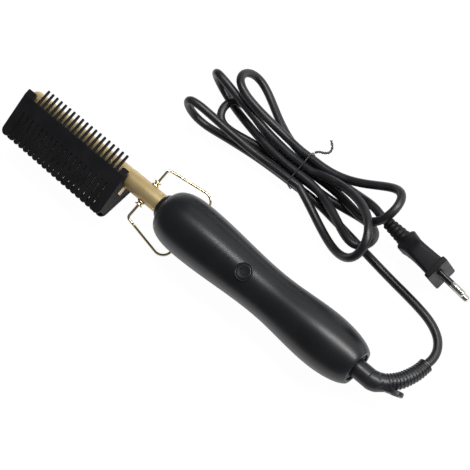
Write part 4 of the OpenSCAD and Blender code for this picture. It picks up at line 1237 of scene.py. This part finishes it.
class HOTCOMB_OT_handle(bpy.types.Operator):
    """Makes the two handle shells, the front collar, the rear ring and the shells' screws"""

    bl_idname = "hotcomb.handle"
    bl_label = "Handle"

    def execute(self, context):
        look = context.scene.hotcomb_handle
        coating = soft_touch(look)
        seam = 0.12
        low, high = span("shell_screws")
        screws = [(x, handle_radius(look, x)) for x in (low.x + SCREW_HEAD, high.x - SCREW_HEAD)]
        top = shell(look, seam, 180 - seam)
        button_hole = pillar("hole", BUTTON_X, 0, 0, 30 * MM, 5.8 * MM, sides=64)
        pipe = pillar("hole", 0, 0, 8 * MM, 30 * MM, 0.65 * MM, sides=20)
        first_lamp = LAMPS_X - (LAMPS - 1) / 2 * LAMP_STEP
        pipes = row(pipe, LAMPS, (first_lamp, 0, 0), (LAMP_STEP, 0, 0), coating)
        top = cut(top, button_hole, pipes)
        bosses = [pillar("boss", x, 0, 0.05 * MM, r - 1.2 * MM, 3.2 * MM, 1.45 * MM) for x, r in screws]
        top = joined("top", top, *bosses)
        piece("top_shell", top, coating, ["handle_top_shell"], angle=40)
        bottom = shell(look, 180 + seam, 360 - seam)
        wells = [pillar("well", x, 0, -30 * MM, -8 * MM, 2.7 * MM) for x, r in screws]
        bottom = cut(bottom, *wells)
        seats = [pillar("seat", x, 0, SCREW_SEAT - r, -0.05 * MM, 3.2 * MM, 1.5 * MM) for x, r in screws]
        skirts = [pillar("skirt", x, 0, 0.9 * MM - r, SCREW_SEAT - r, 3.6 * MM, 2.7 * MM) for x, r in screws]
        bottom = joined("bottom", bottom, *seats, *skirts)
        piece("bottom_shell", bottom, coating, ["handle_bottom_shell"], angle=40)
        steel = screw_steel()
        made = []
        for x, r in screws:
            foot = SCREW_SEAT - r - SCREW_HEAD_H
            made.append(moved(screw_mesh(1.4 * MM, SCREW_HEAD, SCREW_HEAD_H, high.z - foot), to(x, 0, foot)))
        piece("shell_fixings", joined("screws", *made), steel, ["shell_screws"])
        self.trim(look)
        return {"FINISHED"}

    def trim(self, look):
        finish = satin_abs(look)
        front, rear = 7.4 * MM, 9.2 * MM
        gap = 0.3 * MM
        curve = swell(COLLAR_X, front, BODY_X - COLLAR_X - gap, rear - front, 6)
        bore = SLEEVE_R + 0.05 * MM
        inner_end = span("front_collar")[1].x
        outline = [(COLLAR_X + 0.3 * MM, bore), (COLLAR_X, bore + 0.25 * MM), *curve]
        outline += [(BODY_X - gap, 8.2 * MM), (inner_end, 8.2 * MM), (inner_end, bore)]
        piece("collar", lathe("collar", outline), finish, ["front_collar"])
        x0, x1 = span("tail_ring")[0].x, span("tail_ring")[1].x
        flange = 1.4 * MM
        groove = x1 - 0.7 * MM
        bore = 6.08 * MM
        ring = rounded([
            (x0, bore), (x0, 10.4 * MM), (x0 + flange, 10.4 * MM), (x0 + flange, 9.2 * MM),
            (x1, 9.2 * MM, 0.25 * MM), (x1, 7.9 * MM, 0.2 * MM), (groove, 7.5 * MM, 0.2 * MM),
            (groove, bore + 0.5 * MM, 0.2 * MM), (x1, bore, 0.2 * MM),
        ])
        piece("rear_ring", lathe("ring", ring), finish, ["tail_ring"])


class HOTCOMB_OT_button(bpy.types.Operator):
    """Makes the round power button with its engraved symbol, and the ring around it"""

    bl_idname = "hotcomb.button"
    bl_label = "Button"

    def execute(self, context):
        look = context.scene.hotcomb_handle
        low, high = span("power_button")
        radius = 4.65 * MM
        lip, lip_t = radius + 0.65 * MM, 0.65 * MM
        top = high.z
        crown = drop(top - 0.45 * MM, radius, 0.45 * MM, 0.45 * MM)
        dish = [(top - 0.25 * MM * (1 - (r / 3.9) ** 2), r * MM) for r in (3.9, 3.2, 2.5, 1.8, 1.0, 0)]
        outline = [(low.z, 0), (low.z, lip), (low.z + lip_t, lip), (low.z + lip_t, radius), *crown, *dish]
        cap = lathe("cap", outline, 72, "Z")
        groove = top - 0.55 * MM
        inner, outer, above = 1.85 * MM, 2.45 * MM, top + MM
        ring = [(groove, inner), (groove, outer), (above, outer), (above, inner)]
        ring = lathe("arc", ring, 40, "Z", 125, 415)
        far, near, half = 2.9 * MM, 0.6 * MM, 0.3 * MM
        stroke = [(-far, -half), (-near, -half), (-near, half), (-far, half)]
        stroke = plate("stroke", stroke, groove, above, 0.05 * MM)
        cap = moved(cut(cap, ring, stroke), to(BUTTON_X, 0, 0))
        finish = satin_abs(look)
        piece("button_cap", cap, finish, ["power_button"], body="button")
        low, high = span("button_ring")
        inner, outer = radius + 0.1 * MM, radius + 1.1 * MM
        bezel = [(low.z, inner), (low.z, outer), (high.z, outer, 0.3 * MM), (high.z, inner, 0.3 * MM)]
        bezel = rounded(bezel)
        bezel = moved(lathe("bezel", bezel, 72, "Z"), to(BUTTON_X, 0, 0))
        piece("button_bezel", bezel, finish, ["button_ring"])
        return {"FINISHED"}


# ---- Stand ----


class HOTCOMB_OT_stand(bpy.types.Operator):
    """Bends the wire stand and sets its two flared ferrules"""

    bl_idname = "hotcomb.stand"
    bl_label = "Stand"

    def execute(self, context):
        look = context.scene.hotcomb_stand
        brass = polished_brass(look)
        spread = 10
        corner = 2.2 * MM
        corner_y = look.half - corner * math.tan(math.radians((90 - spread) / 2))
        arm_tip = look.half + look.reach * math.tan(math.radians(spread))
        bend_t = look.bend * math.tan(math.radians((90 + spread) / 2))
        tilt = math.radians(spread)
        bend_y = arm_tip - bend_t * math.sin(tilt) - look.bend * math.cos(tilt)
        half = [(0, 5 * MM), (0, corner_y - 2 * MM), (0, corner_y - MM)]
        half += arc((corner, corner_y), corner, 180, 90 + spread, 10)
        half += arc((look.reach - look.bend, bend_y), look.bend, 90 + spread, 0, 18)
        line = half + [(x, -y) for x, y in reversed(half)]
        path = [Vector((x, y, 0)) for x, y in line]
        fold = math.degrees(math.asin((AXIS_Z - look.wire) / look.reach))
        wire = tube("wire", path, [look.wire] * len(path), 20, first=Vector((0, 0, 1)))
        wire = moved(wire, turn(fold, "Y"), to(PIVOT_X, 0, 0))
        piece("stand_bow", wire, brass, ["stand_wire"], angle=60, body="stand")
        bore = look.wire + 0.05 * MM
        y = SLEEVE_R + 0.05 * MM
        outline = rounded([
            (SLEEVE_R - 0.8 * MM, bore), (SLEEVE_R - 0.8 * MM, 1.5 * MM), (y, 1.5 * MM),
            (y, 2.75 * MM, 0.15 * MM), (y + 0.7 * MM, 2.6 * MM, 0.3 * MM), (y + 1.0 * MM, 1.75 * MM, 0.3 * MM),
            (y + 1.9 * MM, 1.75 * MM, 0.4 * MM), (y + 2.4 * MM, 2.7 * MM, 0.2 * MM),
            (y + 3.0 * MM, 2.75 * MM, 0.2 * MM), (y + 2.8 * MM, 1.7 * MM, 0.3 * MM), (y + 2.5 * MM, bore),
        ])
        left = lathe("ferrule", outline, 48, "Y")
        right = moved(left.copy(), Matrix.Scale(-1, 4, (0, 1, 0)))
        both = moved(joined("ferrules", left, right), to(PIVOT_X, 0, 0))
        piece("flared_ferrules", both, brass, ["stand_ferrules"])
        return {"FINISHED"}


# ---- Parts inside ----


# Finish of each carried-over node: base, light, roughness, grain in mm, what it is
INSIDE_PLASTICS = {
    "heater_plate": ("#e6e2d6", "#f2efe6", 0.55, 0.3, "sintered_ceramic"),
    "insulator_bush": ("#d8cdb4", "#e6dcc6", 0.6, 0.6, "pressed_mica"),
    "temperature_sensor": ("#b8863a", "#d0a052", 0.25, 0.5, "glass_bead"),
    "heater_leads": ("#d8d2c4", "#e8e4da", 0.5, 0.3, "glass_sleeving"),
    "supply_wires": ("#7a3028", "#94463a", 0.35, 0.5, "wire_pvc"),
    "push_switch": ("#242428", "#323238", 0.4, 0.4, "switch_nylon"),
    "control_board": ("#1c5a34", "#26703f", 0.35, 0.8, "solder_mask"),
    "board_components": ("#2a2b30", "#3c3d44", 0.45, 0.4, "moulded_epoxy"),
    "indicator_lamps": ("#e8e6da", "#f4f2ea", 0.2, 0.4, "lamp_resin"),
    "light_pipe": ("#1a1b1e", "#2a2b30", 0.08, 0.6, "smoked_polycarbonate"),
}
INSIDE_METALS = {
    "heater_clamps": ("#b4b6ba", "#9a9ca2", 0.4, (10, 1, 1), "extruded_aluminium"),
    "thermal_fuse": ("#c8c8cc", "#adaeb4", 0.25, (1, 1, 1), "tinned_steel"),
    "switch_plunger": ("#b9b9bd", "#a2a3a8", 0.3, (1, 1, 1), "drawn_steel"),
}


class HOTCOMB_OT_insides(bpy.types.Operator):
    """Gives each part inside the barrel and the handle its own finish"""

    bl_idname = "hotcomb.insides"
    bl_label = "Parts inside"

    def execute(self, context):
        for node, (base, light, roughness, grain, name) in INSIDE_PLASTICS.items():
            finish = moulded(name, linear(base), linear(light), roughness, grain * MM, 0.01 * MM)
            dress(node, finish)
        for node, (base, deep, roughness, stretch, name) in INSIDE_METALS.items():
            colours = linear(base), linear(deep)
            dress(node, worked_metal(name, *colours, roughness, stretch, 0.3 * MM, 0.004 * MM))
        return {"FINISHED"}


def dress(node, finish):
    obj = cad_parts[node]
    for mesh_slot in obj.material_slots:
        mesh_slot.material = finish
    if not obj.material_slots:
        obj.data.materials.append(finish)


# ---- Stage ----


VIEW_FROM = Vector((0.404, -0.07, 1.0))
VIEW_TARGET = COMB + Vector((176 * MM, 14.5 * MM, 0))
AXIS_IN_PICTURE = math.atan2(0.6340, 0.7737)


def picture_axes():
    """Right, up and back of the camera: the comb's axis runs down to the right in the picture."""
    back = VIEW_FROM.normalized()
    along = (Vector((1, 0, 0)) - back * back.x).normalized()
    below = (-back).cross(along)
    right = math.cos(AXIS_IN_PICTURE) * along - math.sin(AXIS_IN_PICTURE) * below
    down = math.sin(AXIS_IN_PICTURE) * along + math.cos(AXIS_IN_PICTURE) * below
    return right, -down, back


def lamp(name, tilt, distance, size, power):
    """Rectangular soft lamp, its long side along the comb, tilted in degrees from the camera's direction
    towards the picture's upper right."""
    right, up, back = picture_axes()
    axis = math.cos(AXIS_IN_PICTURE) * right - math.sin(AXIS_IN_PICTURE) * up
    side = math.sin(AXIS_IN_PICTURE) * right + math.cos(AXIS_IN_PICTURE) * up
    away = math.cos(math.radians(tilt)) * back + math.sin(math.radians(tilt)) * side
    data = bpy.data.lights.new(name, "AREA")
    data.shape = "RECTANGLE"
    data.size, data.size_y = size
    data.energy = power
    obj = bpy.data.objects.new(name, data)
    turned = Matrix((axis, away.cross(axis), away)).transposed().to_4x4()
    obj.matrix_world = Matrix.Translation(VIEW_TARGET + away * distance) @ turned
    bpy.context.scene.collection.objects.link(obj)


def seen_white(tree, shader):
    """Mixes a surface with plain white where the camera or glass looks at it, and less so in a reflection."""
    path = add(tree, "ShaderNodeLightPath")
    eye = maths(tree, "MAXIMUM", path.outputs["Is Camera Ray"], path.outputs["Is Transmission Ray"])
    direct = maths(tree, "MULTIPLY", eye, 0.95)
    mirrored = maths(tree, "MULTIPLY", path.outputs["Is Glossy Ray"], 0.55)
    share = maths(tree, "MAXIMUM", direct, mirrored)
    white = add(tree, "ShaderNodeEmission", {"Color": (1, 1, 1, 1), "Strength": 1.03})
    return add(tree, "ShaderNodeMixShader", {0: share, 1: shader, 2: white.outputs[0]})


class HOTCOMB_OT_stage(bpy.types.Operator):
    """Sets the camera, the white floor and the soft lamps"""

    bl_idname = "hotcomb.stage"
    bl_label = "Stage"

    def execute(self, context):
        look = context.scene.hotcomb_stage
        right, up, back = picture_axes()
        camera = bpy.data.objects.new("camera", bpy.data.cameras.new("camera"))
        camera.data.lens = look.lens
        camera.data.sensor_width = 36
        camera.data.clip_start = 0.01
        place = Matrix((right, up, back)).transposed().to_4x4()
        camera.matrix_world = Matrix.Translation(VIEW_TARGET + back * look.distance) @ place
        context.scene.collection.objects.link(camera)
        context.scene.camera = camera
        half = 3.0
        floor_z = -0.1 * MM
        corners = [(x, y, floor_z) for x, y in ((-half, -half), (half, -half), (half, half), (-half, half))]
        mesh = from_faces("floor", corners, [(0, 1, 2, 3)])
        paper = bpy.data.materials.new("white_paper")
        paper.use_nodes = True
        tree = paper.node_tree
        tree.nodes.clear()
        matte = add(tree, "ShaderNodeBsdfDiffuse", {"Color": look.paper})
        add(tree, "ShaderNodeOutputMaterial", {"Surface": seen_white(tree, matte.outputs[0]).outputs[0]})
        mesh.materials.append(paper)
        floor = bpy.data.objects.new("floor", mesh)
        context.scene.collection.objects.link(floor)
        for name, tilt, distance, size, power in (
            ("key", 32, 1.1, (1.5, 0.13), look.key_power),
            ("side", 72, 1.2, (1.8, 0.7), look.side_power),
        ):
            lamp(name, tilt, distance, size, power)
        world = bpy.data.worlds.new("studio")
        world.use_nodes = True
        sky = world.node_tree.nodes["Background"].inputs
        sky["Color"].default_value = linear("#f4f6fa")
        sky["Strength"].default_value = 0.13
        context.scene.world = world
        context.scene.view_settings.view_transform = "Standard"
        return {"FINISHED"}


# ---- Add-on ----


GROUPS = {
    "hotcomb_end": WorkingEnd,
    "hotcomb_guard": Guard,
    "hotcomb_handle": Handle,
    "hotcomb_stand": Stand,
    "hotcomb_cord": Cord,
    "hotcomb_plug": Plug,
    "hotcomb_stage": Stage,
}
OPERATORS = [
    HOTCOMB_OT_stage,
    HOTCOMB_OT_boot,
    HOTCOMB_OT_tie,
    HOTCOMB_OT_plug,
    HOTCOMB_OT_cord,
    HOTCOMB_OT_barrel,
    HOTCOMB_OT_metal_comb,
    HOTCOMB_OT_guard,
    HOTCOMB_OT_handle,
    HOTCOMB_OT_button,
    HOTCOMB_OT_stand,
    HOTCOMB_OT_insides,
]


class HOTCOMB_PT_build(bpy.types.Panel):
    """Lists the pieces of the hot comb"""

    bl_idname = "HOTCOMB_PT_build"
    bl_label = "Hot comb"
    bl_space_type = "VIEW_3D"
    bl_region_type = "UI"
    bl_category = "Hot comb"

    def draw(self, context):
        for operator in OPERATORS:
            self.layout.operator(operator.bl_idname)


def register():
    for kind in [*GROUPS.values(), *OPERATORS, HOTCOMB_PT_build]:
        bpy.utils.register_class(kind)
    for name, group in GROUPS.items():
        setattr(bpy.types.Scene, name, bpy.props.PointerProperty(type=group))


def unregister():
    for name in GROUPS:
        delattr(bpy.types.Scene, name)
    for kind in [HOTCOMB_PT_build, *reversed(OPERATORS), *reversed(list(GROUPS.values()))]:
        bpy.utils.unregister_class(kind)


def main():
    register()
    for operator in OPERATORS:
        group, name = operator.bl_idname.split(".")
        getattr(getattr(bpy.ops, group), name)()


if __name__ == "__main__":
    main()
